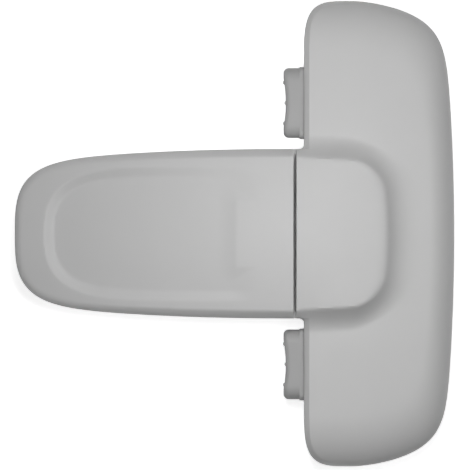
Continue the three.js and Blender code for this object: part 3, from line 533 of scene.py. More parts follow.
def arm_ring(x, across_steps, edge_steps):
    half = float(arm_half(x))
    edge = min(FINE_BAND * ARM_EDGE_WIDE, half / 2)
    ys = both_sides(stretch(
        np.linspace(0, half - edge, across_steps + 1), crowded_end(half - edge, half, edge_steps)
    ))
    xs = np.full(len(ys), x)
    top = np.column_stack([xs, ys, arm_top(xs, ys)])
    return np.vstack([(x, -half, PAD_THICK), top, (x, half, PAD_THICK)])


def arm_skin(name, step, across_steps, edge_steps):
    tip_end = DISH_TIP_X
    tip_long = tip_end - ARM_TIP_X - TIP_TRIM
    count = round((ARM_EDGE_X - SEAM_EDGE - tip_end) / step)
    stations = stretch(
        tip_end - tip_long * np.cos(np.linspace(0, math.pi / 2, 3 * edge_steps)),
        np.linspace(tip_end, ARM_EDGE_X - SEAM_EDGE, count + 1),
        crowded_end(ARM_EDGE_X - SEAM_EDGE, ARM_EDGE_X, SEAM_STEPS),
    )
    return loft(name, [arm_ring(x, across_steps, edge_steps) for x in stations])


def arm_outline(d):
    along = 1 - np.cos(np.linspace(0, math.pi / 2, OUTLINE_STEPS))
    upper = [(x, float(arm_half(x))) for x in AXIS_X + (ARM_TIP_X - AXIS_X) * (1 - along[::-1])]
    lower = [(x, -y) for x, y in upper[:-1]]
    return inset([*upper, *lower[::-1]], d)


def hinge_cup():
    """The space that the handle's barrel sweeps, with its gap."""
    end = ARM_HALF + OVERRUN
    angles = np.linspace(0, 2 * math.pi, CUP_SIDES, endpoint=False)
    rings = []
    for y in (-end, *np.linspace(-ARM_HALF, ARM_HALF, CUP_RINGS), end):
        radius = float(barrel_radius(y)) + SWEEP_GAP
        rings.append(np.column_stack([
            AXIS_X + radius * np.cos(angles),
            np.full(CUP_SIDES, y),
            AXIS_Z + radius * np.sin(angles),
        ]))
    return loft("hinge_cup", rings)


def arm_cover():
    reach = float(barrel_radius(0)) + SWEEP_GAP + WALL
    cover = arm_skin("arm_shell", step=0.45, across_steps=40, edge_steps=14)
    hollow = arm_skin("arm_hollow", step=2.5, across_steps=8, edge_steps=4)
    hollow.location.z = -WALL * MM
    bpy.context.view_layer.update()
    room = prism("room", arm_outline(WALL), PAD_THICK - OVERRUN, CROWN_Z)
    combine(hollow, [room], "INTERSECT")
    seat = prism("seat", arm_outline(WALL), -WALL, BED_Z)
    for inside in (hollow, seat):
        seam_wall = box(
            "seam_wall", AXIS_X - reach, AXIS_X, -ARM_HALF, ARM_HALF, -CROWN_Z, CROWN_Z,
        )
        combine(inside, [seam_wall], "DIFFERENCE")
    doorway = box(
        "doorway", AXIS_X - reach - OVERRUN, AXIS_X,
        -TONGUE_PLATE_HALF - CLEAR, TONGUE_PLATE_HALF + CLEAR, 0, BED_Z + CLEAR,
    )
    foot = box(
        "foot", ARM_EDGE_X - WALL, HEAD_WALL_X - FOOT_GAP, -ARM_HALF, ARM_HALF, HEAD_Z, FOOT_Z,
    )
    combine(cover, [foot], "UNION")
    combine(cover, [hollow, seat, doorway, hinge_cup()], "DIFFERENCE")
    return smooth_shading(cover)


# The handle's cover


def tongue_share(y):
    """How far the tongue reaches left of the finger wall: 1 on the tongue, 0 on the wings."""
    past = abs(y) - ARM_HALF
    if past <= 0:
        return 1.0
    rest = TONGUE_FILLET - min(past, TONGUE_FILLET)
    reach = TONGUE_FILLET - math.sqrt(TONGUE_FILLET**2 - rest**2)
    return reach / (HEAD_WALL_X - HEAD_EDGE_X)


def head_ring(y, middle_steps, edge_steps):
    wall = float(head_left(y))
    right = float(head_right(y))
    share = tongue_share(y)
    left = wall - share * (HEAD_WALL_X - HEAD_EDGE_X)
    finger = min(FINGER_EDGE, (right - left) / 3)
    palm = min(PALM_EDGE, (right - left) / 3)
    xs = stretch(
        crowded_end(left + finger, left, edge_steps)[::-1],
        np.linspace(left + finger, right - palm, middle_steps + 1),
        crowded_end(right - palm, right, 2 * edge_steps),
    )
    top = np.column_stack([xs, np.full(len(xs), y), head_top(xs, np.full(len(xs), y))])
    edge_z = top[0, 2]
    radius = float(barrel_radius(y))
    front = math.atan2(float(seam_top(y)) - SEAM_EDGE - AXIS_Z, -HINGE_BACK)
    start = front if front < 0 else front - 2 * math.pi
    end = -math.acos((HEAD_WALL_X - AXIS_X) / radius)
    side = [(wall, y, HEAD_Z)]
    side_steps = 2 * edge_steps
    for i in range(side_steps):
        angle = mix(end, start, i / side_steps)
        barrel_x = max(HEAD_EDGE_X, AXIS_X + radius * math.cos(angle))
        barrel_z = AXIS_Z + radius * math.sin(angle)
        x = mix(wall, wall + barrel_x - HEAD_WALL_X, share)
        plain_z = mix(HEAD_Z, edge_z, (i + 1) / (side_steps + 1))
        side.append((x, y, mix(plain_z, barrel_z, share**2)))
    return np.vstack([side, top, [(right, y, HEAD_Z)]])


def head_skin(name, step, middle_steps, edge_steps):
    fillet = ARM_HALF + TONGUE_FILLET
    inner = HEAD_HALF - TIP_EDGE
    half = stretch(
        np.linspace(0, ARM_HALF, round(ARM_HALF / step) + 1),
        ARM_HALF + TONGUE_FILLET * (1 - np.cos(np.linspace(0, math.pi / 2, edge_steps + 1))),
        np.linspace(fillet, inner, round((inner - fillet) / step) + 1),
        crowded_end(inner, HEAD_HALF - TIP_TRIM, 4 * edge_steps),
    )
    half = np.insert(half, np.searchsorted(half, ARM_HALF) + 1, ARM_HALF + TIP_TRIM)
    return loft(name, [head_ring(y, middle_steps, edge_steps) for y in both_sides(half)])


def head_outline(d):
    ys = both_sides(HEAD_HALF * np.sin(np.linspace(0, math.pi / 2, OUTLINE_STEPS)))
    right = [(float(head_right(y)), y) for y in ys[1:]]
    left = [(float(head_left(y)), y) for y in ys[:-1]]
    return inset([(HEAD_TIP_X, -HEAD_HALF), *right, *left[1:][::-1]], d)


def ear_pocket(y):
    """Room for an ear and its leg while the handle turns a quarter about it."""
    half = EAR_THICK / 2 + EAR_FIT
    left = AXIS_X - float(barrel_radius(0)) - OVERRUN
    outline = [
        *arc((AXIS_X, AXIS_Z), POCKET_RADIUS, 0, 90, EAR_QUARTER_STEPS),
        (left, AXIS_Z + POCKET_RADIUS),
        (left, HEAD_Z - OVERRUN),
        (AXIS_X + POCKET_RADIUS, HEAD_Z - OVERRUN),
    ]
    return prism("ear_pocket", outline, y - half, y + half, "y")


def hinge_block():
    return box(
        "hinge_block", HEAD_WALL_X - WALL, HINGE_BLOCK_X,
        -HINGE_BLOCK_HALF, HINGE_BLOCK_HALF, 0, CROWN_Z + OVERRUN,
    )


def handle_cover():
    cover = head_skin("handle_shell", step=0.5, middle_steps=70, edge_steps=12)
    hollow = head_skin("handle_hollow", step=2.5, middle_steps=14, edge_steps=3)
    hollow.location.z = -WALL * MM
    bpy.context.view_layer.update()
    combine(hollow, [prism("room", head_outline(WALL), HEAD_Z - OVERRUN, CROWN_Z)], "INTERSECT")
    seat = prism("seat", head_outline(WALL), HEAD_Z - OVERRUN, BACK_Z)
    for inside in (hollow, seat):
        combine(inside, [hinge_block()], "DIFFERENCE")
    cuts = [hollow, seat]
    outside, within = HEAD_WALL_X - OVERRUN, HEAD_WALL_X + WALL + OVERRUN
    cuts += [button_block("button_window", side, outside, within, CLEAR) for side in (1, -1)]
    cuts += [ear_pocket(y) for y in (-EAR_Y, EAR_Y)]
    combine(cover, cuts, "DIFFERENCE")
    return smooth_shading(cover)


# The finger buttons

BUTTON_Y = 32.0
BUTTON_LENGTH = 17.1
BUTTON_FACE_X = 12.0
BUTTON_TALL = 6.8
BUTTON_LOW = 6.9
BUTTON_CORNER = 1.4
BUTTON_BEVEL = 1.25
BUTTON_END_ROUND = 3.3
BUTTON_HOLLOW = 0.55
BUTTON_FLAT = 2.6
BUTTON_STEP = 0.25
BUTTON_STEP_X = 15.9
BUTTON_TRAVEL = 3.0
RIB_PITCH = 5.0
RIB_RADIUS = 0.55
RIB_PROUD = 0.35
FLANGE_THICK = 1.5
FLANGE_LIP = 0.8
SLIDE_THICK = 1.8
SLIDE_RAIL = 2.2
SLIDE_BAR = 3.0
SLIDE_GAP = 0.5
PEG_RADIUS = 1.5
PEG_LENGTH = 3.0

SLIDE_Z = BACK_Z + SLIDE_GAP
SLIDE_TOP_Z = SLIDE_Z + SLIDE_THICK
FLANGE_X = HEAD_WALL_X + WALL + CLEAR
FLANGE_BACK_X = FLANGE_X + FLANGE_THICK
SPRING_X = FLANGE_BACK_X + CLEAR
SPRING_LENGTH = 12.0
SPRING_END_X = SPRING_X + SPRING_LENGTH
SPRING_Z = BUTTON_LOW + BUTTON_TALL / 2 + SLIDE_GAP
SPRING_RADIUS = 2.6
WIRE_RADIUS = 0.25
SPRING_TURNS = 7
COIL_STEPS = 28
WIRE_SIDES = 12

HOOK_X = 44.0
HOOK_LEAF = 1.4
HOOK_WIDE = 6.0
HOOK_NOSE_EDGE = 0.8
HOOK_RAMP = 2.4
HOOK_PLAY = 0.4
HOOK_TOP_Z = SLIDE_TOP_Z + CLEAR + HOOK_NOSE_EDGE + HOOK_RAMP


def button_block(name, side, x0, x1, margin):
    """The rounded block that the button fills and its window clears."""
    half = BUTTON_LENGTH / 2 + BUTTON_STEP + margin
    outline = rounded_rect(
        side * BUTTON_Y - half, side * BUTTON_Y + half,
        BUTTON_LOW - margin, BUTTON_LOW + BUTTON_TALL + margin, BUTTON_CORNER + margin,
    )
    return prism(name, outline, x0, x1, "x")


def hook_path_x(z):
    """Where the hook's inner top corner crosses a level of the handle as the handle swings up."""
    reach = math.hypot(HOOK_X - HOOK_LEAF - AXIS_X, AXIS_Z - HOOK_TOP_Z)
    return AXIS_X + math.sqrt(reach**2 - (AXIS_Z - z) ** 2)


def finger_face(y):
    """The hollow of the finger's side, y being measured from the button's middle."""
    hollow_half = BUTTON_LENGTH / 2 - BUTTON_FLAT
    return BUTTON_FACE_X + BUTTON_HOLLOW * clamp01(1 - (y / hollow_half) ** 2)


def pad_section(d):
    """The pad's outline seen from the finger, drawn in by d, with points along its runs too."""
    half = BUTTON_LENGTH / 2 - d
    low, high = BUTTON_LOW + d, BUTTON_LOW + BUTTON_TALL - d
    corners = rounded_rect(-half, half, low, high, BUTTON_END_ROUND - d, PAD_CORNER_STEPS)
    corners = np.array(corners).reshape(4, -1, 2)
    outline = []
    for i, corner in enumerate(corners):
        count = PAD_SHORT_POINTS if i % 2 else PAD_LONG_POINTS
        run = np.linspace(corner[-1], corners[(i + 1) % 4][0], count)
        outline += [corner, run[1:-1]]
    return np.concatenate(outline)


def finger_pad(side):
    """What the finger meets: rounded ends, a hollow between them, and three ribs."""
    centre = np.array([0, BUTTON_LOW + BUTTON_TALL / 2])
    rim = pad_section(BUTTON_BEVEL)
    rings = []
    for share in np.linspace(PAD_MIDDLE, 1, PAD_FACE_RINGS, endpoint=False):
        points = centre + (rim - centre) * share
        rings.append((finger_face(points[:, 0]), points))
    for angle in np.linspace(0, math.pi / 2, PAD_BEVEL_RINGS):
        points = pad_section(BUTTON_BEVEL * (1 - math.sin(angle)))
        rings.append((finger_face(points[:, 0]) + BUTTON_BEVEL * (1 - math.cos(angle)), points))
    rings.append((np.full(len(rim), BUTTON_STEP_X + OVERRUN), pad_section(0)))
    pad = loft("finger_pad", [
        np.column_stack([x, points[:, 0] + side * BUTTON_Y, points[:, 1]]) for x, points in rings
    ])
    low, high = BUTTON_LOW + BUTTON_BEVEL, BUTTON_LOW + BUTTON_TALL - BUTTON_BEVEL
    ribs = []
    for y in (-RIB_PITCH, 0, RIB_PITCH):
        x = float(finger_face(y)) + RIB_RADIUS - RIB_PROUD
        ribs.append(rod("rib", "z", RIB_RADIUS, low, high, (x, side * BUTTON_Y + y), RIB_SIDES))
    return combine(pad, ribs, "UNION")


def button(side, name):
    middle = side * BUTTON_Y
    whole = finger_pad(side)
    whole.name = name
    lip = BUTTON_LENGTH / 2 + BUTTON_STEP + FLANGE_LIP
    window_half = HOOK_WIDE / 2 + HOOK_PLAY
    slide_half = window_half + SLIDE_RAIL
    slide = box(
        "slide", FLANGE_X + CLEAR, HOOK_X + HOOK_PLAY + SLIDE_BAR,
        middle - slide_half, middle + slide_half, SLIDE_Z, SLIDE_TOP_Z,
    )
    window = box(
        "window", hook_path_x(SLIDE_Z) - BUTTON_TRAVEL - CLEAR, HOOK_X + HOOK_PLAY,
        middle - window_half, middle + window_half, 0, CROWN_Z,
    )
    combine(slide, [window], "DIFFERENCE")
    inner = button_block("inner", side, BUTTON_STEP_X, FLANGE_X + CLEAR, 0)
    flange = box(
        "flange", FLANGE_X, FLANGE_BACK_X, middle - lip, middle + lip,
        SLIDE_Z, BUTTON_LOW + BUTTON_TALL + FLANGE_LIP,
    )
    peg_end = FLANGE_BACK_X + PEG_LENGTH
    peg = rod("peg", "x", PEG_RADIUS, FLANGE_X + CLEAR, peg_end, (middle, SPRING_Z))
    combine(whole, [inner, flange, slide, peg], "UNION")
    return smooth_shading(whole)


def spring(side, name):
    """A round-wire coil whose first and last turns lie closed."""
    count = SPRING_TURNS * COIL_STEPS
    closed = COIL_STEPS * 3 // 4
    station = np.arange(count + 1)
    open_share = clamp01((station - closed) / (count - 2 * closed))
    angles = 2 * math.pi * station / COIL_STEPS
    low, high = SPRING_X + WIRE_RADIUS, SPRING_END_X - WIRE_RADIUS
    early = 2 * WIRE_RADIUS * np.minimum(station, closed) / COIL_STEPS
    late = 2 * WIRE_RADIUS * np.maximum(station - (count - closed), 0) / COIL_STEPS
    free = high - low - 2 * 2 * WIRE_RADIUS * closed / COIL_STEPS
    along = low + early + late + free * open_share
    rings = []
    for x, angle in zip(along, angles):
        outward = np.array([0, math.cos(angle), math.sin(angle)])
        centre = np.array([x, side * BUTTON_Y, SPRING_Z]) + SPRING_RADIUS * outward
        ring = [
            centre + WIRE_RADIUS * (math.cos(a) * outward + math.sin(a) * np.array([1, 0, 0]))
            for a in np.linspace(0, 2 * math.pi, WIRE_SIDES, endpoint=False)
        ]
        rings.append(np.array(ring))
    return smooth_shading(loft(name, rings), COIL_SHARP_ANGLE)


# Screws, and the plates, hooks and pin that the covers hide in part

SCREW_RADIUS = 1.0
SCREW_LENGTH = 8.0
SCREW_HEAD_RADIUS = 1.9
SCREW_HEAD_DEEP = 1.1
SCREW_CROSS_REACH = 1.05
SCREW_CROSS_HALF = 0.2
SCREW_CROSS_DEEP = 0.7
BOSS_RADIUS = 2.7

ARM_SCREW_PLACES = ((0.7, 0.42), (-0.03, 0.6))
ARM_SCREWS = [
    (ARM_TIP_X * along, side * ARM_HALF * across_share)
    for along, across_share in ARM_SCREW_PLACES for side in (1, -1)
]
HEAD_SCREW_TIP = (HEAD_HALF + BUTTON_Y + BUTTON_LENGTH / 2 - BOSS_RADIUS) / 2
HEAD_SCREWS = [
    (x, side * y)
    for x, y in (
        (HEAD_TIP_X - BOSS_RADIUS, HEAD_SCREW_TIP),
        (HOOK_X, HEAD_SCREW_TIP),
        (HEAD_RIGHT_X - PALM_EDGE, BUTTON_Y / 2),
    )
    for side in (1, -1)
]

ARM_PAD_INSET = 2.4
PIN_RADIUS = 1.25
PIN_HALF = 15.0
HOOK_NOSE = 1.6
HOOK_FOOT = 2.0
HOOK_FOOT_THICK = 0.9
KEEPER_LEFT_X = 17.4
KEEPER_RIGHT_X = 49.5
KEEPER_HALF = 45.5
KEEPER_CORNER = 6.0
PLATE_EDGE = 0.25
TAPE_EDGE = 0.12


def turned(name, x, y, profile):
    """A solid turned about an upright line, from (radius, height) pairs."""
    rings = []
    for radius, z in profile:
        ring = np.array(circle((x, y), radius, ROUND_SIDES))
        rings.append(np.column_stack([ring, np.full(ROUND_SIDES, z)]))
    return loft(name, rings)


def screw(name, x, y, z):
    """A countersunk screw whose head looks down and has a cross recess."""
    made = turned(name, x, y, [
        (SCREW_HEAD_RADIUS - TAPE_EDGE, z),
        (SCREW_HEAD_RADIUS, z + TAPE_EDGE),
        (SCREW_RADIUS, z + SCREW_HEAD_DEEP),
        (SCREW_RADIUS, z + SCREW_LENGTH - SCREW_RADIUS),
        (TIP_TRIM, z + SCREW_LENGTH),
    ])
    long, thin, deep = SCREW_CROSS_REACH, SCREW_CROSS_HALF, z + SCREW_CROSS_DEEP
    cross = [
        box("recess", x - long, x + long, y - thin, y + thin, z - OVERRUN, deep),
        box("recess", x - thin, x + thin, y - long, y + long, z - OVERRUN, deep),
    ]
    return smooth_shading(combine(made, cross, "DIFFERENCE"))


def screw_hole(x, y, z):
    return turned("screw_hole", x, y, [
        (SCREW_HEAD_RADIUS + CLEAR, z - OVERRUN),
        (SCREW_HEAD_RADIUS + CLEAR, z),
        (SCREW_RADIUS + CLEAR, z + SCREW_HEAD_DEEP + CLEAR),
        (SCREW_RADIUS + CLEAR, z + SCREW_LENGTH),
    ])


def hinge_ear(y):
    """A round eye on a leg, in which the pin turns."""
    outline = [
        *arc((AXIS_X, AXIS_Z), EAR_RADIUS, 0, 180, 2 * EAR_QUARTER_STEPS),
        (AXIS_X - EAR_RADIUS, PAD_THICK),
        (AXIS_X + EAR_RADIUS, PAD_THICK),
    ]
    ear = prism("ear", outline, y - EAR_THICK / 2, y + EAR_THICK / 2, "y")
    eye = rod("eye", "y", PIN_RADIUS + CLEAR, y - EAR_THICK, y + EAR_THICK, (AXIS_X, AXIS_Z))
    return combine(ear, [eye], "DIFFERENCE")


def arm_base():
    reach = float(barrel_radius(0)) + SWEEP_GAP + WALL
    base = prism("base_plate", arm_outline(WALL + CLEAR), PAD_THICK, BED_Z)
    seam = box(
        "seam", AXIS_X - reach - CLEAR, AXIS_X + CLEAR, -ARM_HALF, ARM_HALF, 0, BED_Z + OVERRUN,
    )
    combine(base, [seam], "DIFFERENCE")
    tongue = box(
        "tongue", AXIS_X - reach - WALL, AXIS_X + EAR_RADIUS,
        -TONGUE_PLATE_HALF, TONGUE_PLATE_HALF, PAD_THICK, BED_Z,
    )
    combine(base, [tongue, hinge_ear(-EAR_Y), hinge_ear(EAR_Y)], "UNION")
    combine(base, [screw_hole(x, y, PAD_THICK) for x, y in ARM_SCREWS], "DIFFERENCE")
    return softened(base, PLATE_EDGE)


def arm_pad():
    pad = prism("arm_tape", arm_outline(ARM_PAD_INSET), 0, PAD_THICK)
    end = box(
        "end", AXIS_X - HINGE_BACK - WALL, AXIS_X + CLEAR, -ARM_HALF, ARM_HALF, -OVERRUN, BED_Z,
    )
    return softened(combine(pad, [end], "DIFFERENCE"), TAPE_EDGE)


def handle_back():
    back = prism("back_plate", head_outline(WALL + CLEAR), HEAD_Z, BACK_Z)
    cuts = [box(
        "hinge_gap", HEAD_WALL_X, HINGE_BLOCK_X + CLEAR,
        -HINGE_BLOCK_HALF - CLEAR, HINGE_BLOCK_HALF + CLEAR, 0, BACK_Z + OVERRUN,
    )]
    for y in (-BUTTON_Y, BUTTON_Y):
        cuts.append(box(
            "hook_window", hook_path_x(HEAD_Z) - CLEAR, HOOK_X + HOOK_NOSE + HOOK_PLAY,
            y - HOOK_WIDE / 2 - HOOK_PLAY, y + HOOK_WIDE / 2 + HOOK_PLAY, 0, BACK_Z + OVERRUN,
        ))
    cuts += [screw_hole(x, y, HEAD_Z) for x, y in HEAD_SCREWS]
    return softened(combine(back, cuts, "DIFFERENCE"), PLATE_EDGE)


def keeper_sheet(name, low, high):
    """The keeper's outline, notched for the tongue of the arm's base plate."""
    sheet = prism(name, rounded_rect(
        KEEPER_LEFT_X, KEEPER_RIGHT_X, -KEEPER_HALF, KEEPER_HALF, KEEPER_CORNER,
        KEEPER_CORNER_STEPS,
    ), low, high)
    notch = box(
        "notch", ARM_EDGE_X, AXIS_X + EAR_RADIUS + CLEAR,
        -TONGUE_PLATE_HALF - CLEAR, TONGUE_PLATE_HALF + CLEAR, low - OVERRUN, high + OVERRUN,
    )
    return combine(sheet, [notch], "DIFFERENCE")


def hook_room(name, y, left, right, margin, low, high):
    """A box about the hook's leaf or foot, as wide as the hook and a margin."""
    half = HOOK_WIDE / 2 + margin
    return box(name, left - margin, right + margin, y - half, y + half, low, high)


def keeper_plate():
    cuts = []
    for y in (-BUTTON_Y, BUTTON_Y):
        cuts.append(hook_room("leaf", y, HOOK_X - HOOK_LEAF, HOOK_X, CLEAR, 0, BED_Z + OVERRUN))
        cuts.append(hook_room(
            "foot", y, HOOK_X - HOOK_LEAF - HOOK_FOOT, HOOK_X + HOOK_FOOT,
            CLEAR, 0, PAD_THICK + HOOK_FOOT_THICK + CLEAR,
        ))
    sheet = keeper_sheet("keeper_sheet", PAD_THICK, BED_Z)
    return softened(combine(sheet, cuts, "DIFFERENCE"), PLATE_EDGE)


def keeper_pad():
    return softened(keeper_sheet("keeper_tape", 0, PAD_THICK), TAPE_EDGE)


def catch_hook(side, name):
    """A springy leaf on a foot, with a nose over the slide's bar and a ramp that the bar rides."""
    y = side * BUTTON_Y
    nose = SLIDE_TOP_Z + CLEAR
    outline = [
        (HOOK_X - HOOK_LEAF, PAD_THICK),
        (HOOK_X, PAD_THICK),
        (HOOK_X, nose),
        (HOOK_X + HOOK_NOSE, nose),
        (HOOK_X + HOOK_NOSE, nose + HOOK_NOSE_EDGE),
        (HOOK_X - HOOK_LEAF / 2, HOOK_TOP_Z),
        (HOOK_X - HOOK_LEAF, HOOK_TOP_Z),
    ]
    leaf = prism(name, outline, y - HOOK_WIDE / 2, y + HOOK_WIDE / 2, "y")
    foot = hook_room(
        "foot", y, HOOK_X - HOOK_LEAF - HOOK_FOOT, HOOK_X + HOOK_FOOT,
        0, PAD_THICK, PAD_THICK + HOOK_FOOT_THICK,
    )
    return softened(combine(leaf, [foot], "UNION"), PLATE_EDGE)


def hinge_pin():
    pin = rod("pin", "y", PIN_RADIUS, -PIN_HALF, PIN_HALF, (AXIS_X, AXIS_Z))
    return softened(pin, PLATE_EDGE)


# Materials

# The middle part of a noise's values, which a ramp stretches to its own range
NOISE_LOW = 0.3
NOISE_HIGH = 0.7

# The plastic: how far its tone and roughness wander, and its sheen
TONE_SPREAD = 0.015
ROUGHNESS_SPREAD = 0.02
PLASTIC_IOR = 1.5
PLASTIC_SHEEN = 0.15

FOAM_CELL = 0.22
FOAM_CELL_DEEP = 0.06
FOAM_ROUGHNESS = 0.85


def shader(name):
    """A new material and its node tree, emptied but for a Principled shader that is wired up."""
    made = bpy.data.materials.new(name)
    made.use_nodes = True
    tree = made.node_tree
    tree.nodes.clear()
    output = tree.nodes.new("ShaderNodeOutputMaterial")
    surface = tree.nodes.new("ShaderNodeBsdfPrincipled")
    tree.links.new(surface.outputs["BSDF"], output.inputs["Surface"])
    return made, tree, surface


def noise(tree, size, detail=3.0, stretch_by=(1, 1, 1)):
    """Noise whose grains are about size millimetres across, in the object's own coordinates."""
    place = tree.nodes.new("ShaderNodeTexCoord")
    scaled = tree.nodes.new("ShaderNodeMapping")
    scaled.inputs["Scale"].default_value = stretch_by
    texture = tree.nodes.new("ShaderNodeTexNoise")
    texture.inputs["Scale"].default_value = 1 / (size * MM)
    texture.inputs["Detail"].default_value = detail
    tree.links.new(place.outputs["Object"], scaled.inputs["Vector"])
    tree.links.new(scaled.outputs["Vector"], texture.inputs["Vector"])
    return texture.outputs["Fac"]


def ramp(tree, value, low, high):
    """Turns a texture's 0 to 1 into numbers from low to high."""
    node = tree.nodes.new("ShaderNodeMapRange")
    node.inputs["From Min"].default_value = NOISE_LOW
    node.inputs["From Max"].default_value = NOISE_HIGH
    node.inputs["To Min"].default_value = low
    node.inputs["To Max"].default_value = high
    tree.links.new(value, node.inputs["Value"])
    return node.outputs["Result"]


def tint(tree, value, dark, light):
    """Turns a texture's 0 to 1 into a colour between two."""
    node = tree.nodes.new("ShaderNodeMix")
    node.data_type = "RGBA"
    node.inputs["A"].default_value = (*dark, 1)
    node.inputs["B"].default_value = (*light, 1)
    tree.links.new(value, node.inputs["Factor"])
    return node.outputs["Result"]


def bump(tree, surface, value, depth, under=None):
    """Presses a texture into the surface, depth millimetres deep."""
    node = tree.nodes.new("ShaderNodeBump")
    node.inputs["Strength"].default_value = 1.0
    node.inputs["Distance"].default_value = depth * MM
    tree.links.new(value, node.inputs["Height"])
    if under is not None:
        tree.links.new(under, node.inputs["Normal"])
    tree.links.new(node.outputs["Normal"], surface.inputs["Normal"])
    return node.outputs["Normal"]


def grey(level):
    return (level, level, level)


def moulded_plastic(name, level, roughness, grain_depth):
    """Satin plastic with the fine even grain of its mould and a faint cloudiness."""
    made, tree, surface = shader(name)
    clouds = noise(tree, size=9.0, detail=2.0)
    dark, light = grey(level * (1 - TONE_SPREAD)), grey(level * (1 + TONE_SPREAD))
    tree.links.new(tint(tree, clouds, dark, light), surface.inputs["Base Color"])
    smears = noise(tree, size=1.2, detail=4.0)
    patches = ramp(tree, smears, roughness - ROUGHNESS_SPREAD, roughness + ROUGHNESS_SPREAD)
    tree.links.new(patches, surface.inputs["Roughness"])
    surface.inputs["IOR"].default_value = PLASTIC_IOR
    surface.inputs["Specular IOR Level"].default_value = PLASTIC_SHEEN
    coarse = bump(tree, surface, noise(tree, size=0.35, detail=2.0), grain_depth)
    bump(tree, surface, noise(tree, size=0.09, detail=1.0), grain_depth / 2, coarse)
    return made


def foam(name):
    """White closed-cell foam tape, with its cells open at the cut edge."""
    made, tree, surface = shader(name)
    cells = tree.nodes.new("ShaderNodeTexVoronoi")
    cells.inputs["Scale"].default_value = 1 / (FOAM_CELL * MM)
    place = tree.nodes.new("ShaderNodeTexCoord")
    tree.links.new(place.outputs["Object"], cells.inputs["Vector"])
    colour = tint(tree, noise(tree, size=3.0), grey(0.78), grey(0.84))
    tree.links.new(colour, surface.inputs["Base Color"])
    surface.inputs["Roughness"].default_value = FOAM_ROUGHNESS
    bump(tree, surface, cells.outputs["Distance"], FOAM_CELL_DEEP)
    return made


def acetal(name):
    """Smooth natural acetal, a little waxy."""
    made, tree, surface = shader(name)
    clouds = noise(tree, size=4.0, detail=2.0)
    colour = tint(tree, clouds, (0.74, 0.73, 0.69), (0.79, 0.78, 0.74))
    tree.links.new(colour, surface.inputs["Base Color"])
    patches = ramp(tree, noise(tree, size=0.8), 0.3, 0.38)
    tree.links.new(patches, surface.inputs["Roughness"])
    bump(tree, surface, noise(tree, size=0.3, detail=2.0), depth=0.004)
    return made


def steel(name, level, roughness, along):
    """Drawn or plated steel: fine lines that run the way the piece was drawn."""
    made, tree, surface = shader(name)
    lines = noise(tree, size=0.12, stretch_by=along)
    dark = (level * 0.93, level * 0.94, level * 0.96)
    light = (level, level * 1.01, level * 1.03)
    tree.links.new(tint(tree, lines, dark, light), surface.inputs["Base Color"])
    surface.inputs["Metallic"].default_value = 1.0
    worn = ramp(tree, lines, roughness - 0.05, roughness + 0.08)
    tree.links.new(worn, surface.inputs["Roughness"])
    bump(tree, surface, lines, depth=0.003)
    return made


MATERIALS = {
    "shell_grey": moulded_plastic("shell_grey", 0.5, 0.5, 0.006),
    # The buttons' grey is darker than the shell's, partly as their own tone and partly as painted
    # shade for the handle's wall beside them
    "button_grey": moulded_plastic("button_grey", 0.345, 0.5, 0.006),
    "inner_grey": moulded_plastic("inner_grey", 0.4, 0.5, 0.004),
    "hook_white": acetal("hook_white"),
    "foam_white": foam("foam_white"),
    "pin_steel": steel("pin_steel", 0.62, 0.25, (1, 0.05, 1)),
    "spring_steel": steel("spring_steel", 0.55, 0.3, (1, 1, 1)),
    "screw_steel": steel("screw_steel", 0.66, 0.28, (1, 1, 0.2)),
}


def dress(obj, slot):
    obj.data.materials.clear()
    obj.data.materials.append(MATERIALS[slot])


def place(obj, body, slot, *nodes):
    """Gives a new piece its finish and body, in place of the CAD nodes that it stands for."""
    dress(obj, slot)
    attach(obj, body)
    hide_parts(*nodes)
    return obj


# The camera: straight above, as far off as the photograph's flat view asks

PHOTO_PIXELS = 470
PIXEL = 0.2457
PHOTO_ORIGIN = (234.5, 233.7)
CAMERA_HEIGHT = 3000.0
SENSOR_WIDTH = 36.0
NEAREST = 0.1
FARTHEST = 20.0


def camera():
    data = bpy.data.cameras.new("camera")
    data.sensor_width = SENSOR_WIDTH
    data.lens = data.sensor_width * CAMERA_HEIGHT / (PHOTO_PIXELS * PIXEL)
    data.clip_start = NEAREST
    data.clip_end = FARTHEST
    obj = bpy.data.objects.new("camera", data)
    centre = PHOTO_PIXELS / 2
    obj.location = (
        (centre - PHOTO_ORIGIN[0]) * PIXEL * MM,
        (PHOTO_ORIGIN[1] - centre) * PIXEL * MM,
        CAMERA_HEIGHT * MM,
    )
    bpy.context.scene.collection.objects.link(obj)
    bpy.context.scene.camera = obj


# The floor and the light

FLOOR_GREY = 0.9
FLOOR_ROUGHNESS = 0.9
FLOOR_LIFT = 0.72
FLOOR_REACH = 4000.0
FLOOR_BELOW = 0.02
WORLD_LIGHT = 0.1

# Where each lamp stands, how broad it is and its power in watts
LAMPS = {
    "key": ((17.0, 17.0, 235.0), 60.0, 0.21),
    "close": ((40.0, 10.0, 130.0), 60.0, 0.019),
    "above": ((0.0, 0.0, 700.0), 200.0, 0.37),
    "right": ((216.0, 0.0, 666.0), 200.0, 0.43),
    "upper": ((0.0, 320.0, 622.0), 200.0, 0.92),
    "left": ((-658.0, 0.0, 239.0), 300.0, 0.12),
    "below": ((0.0, 0.0, -700.0), 300.0, 1.8),
}


def either(tree, a, b):
    """The greater of two values, for rays that are of one kind or the other."""
    node = tree.nodes.new("ShaderNodeMath")
    node.operation = "MAXIMUM"
    tree.links.new(a, node.inputs[0])
    tree.links.new(b, node.inputs[1])
    return node.outputs["Value"]


def background_ray(tree):
    """1 for the camera's rays and those that metal or glass sends on, which all see the white."""
    path = tree.nodes.new("ShaderNodeLightPath")
    sent_on = either(tree, path.outputs["Is Glossy Ray"], path.outputs["Is Transmission Ray"])
    return either(tree, path.outputs["Is Camera Ray"], sent_on)


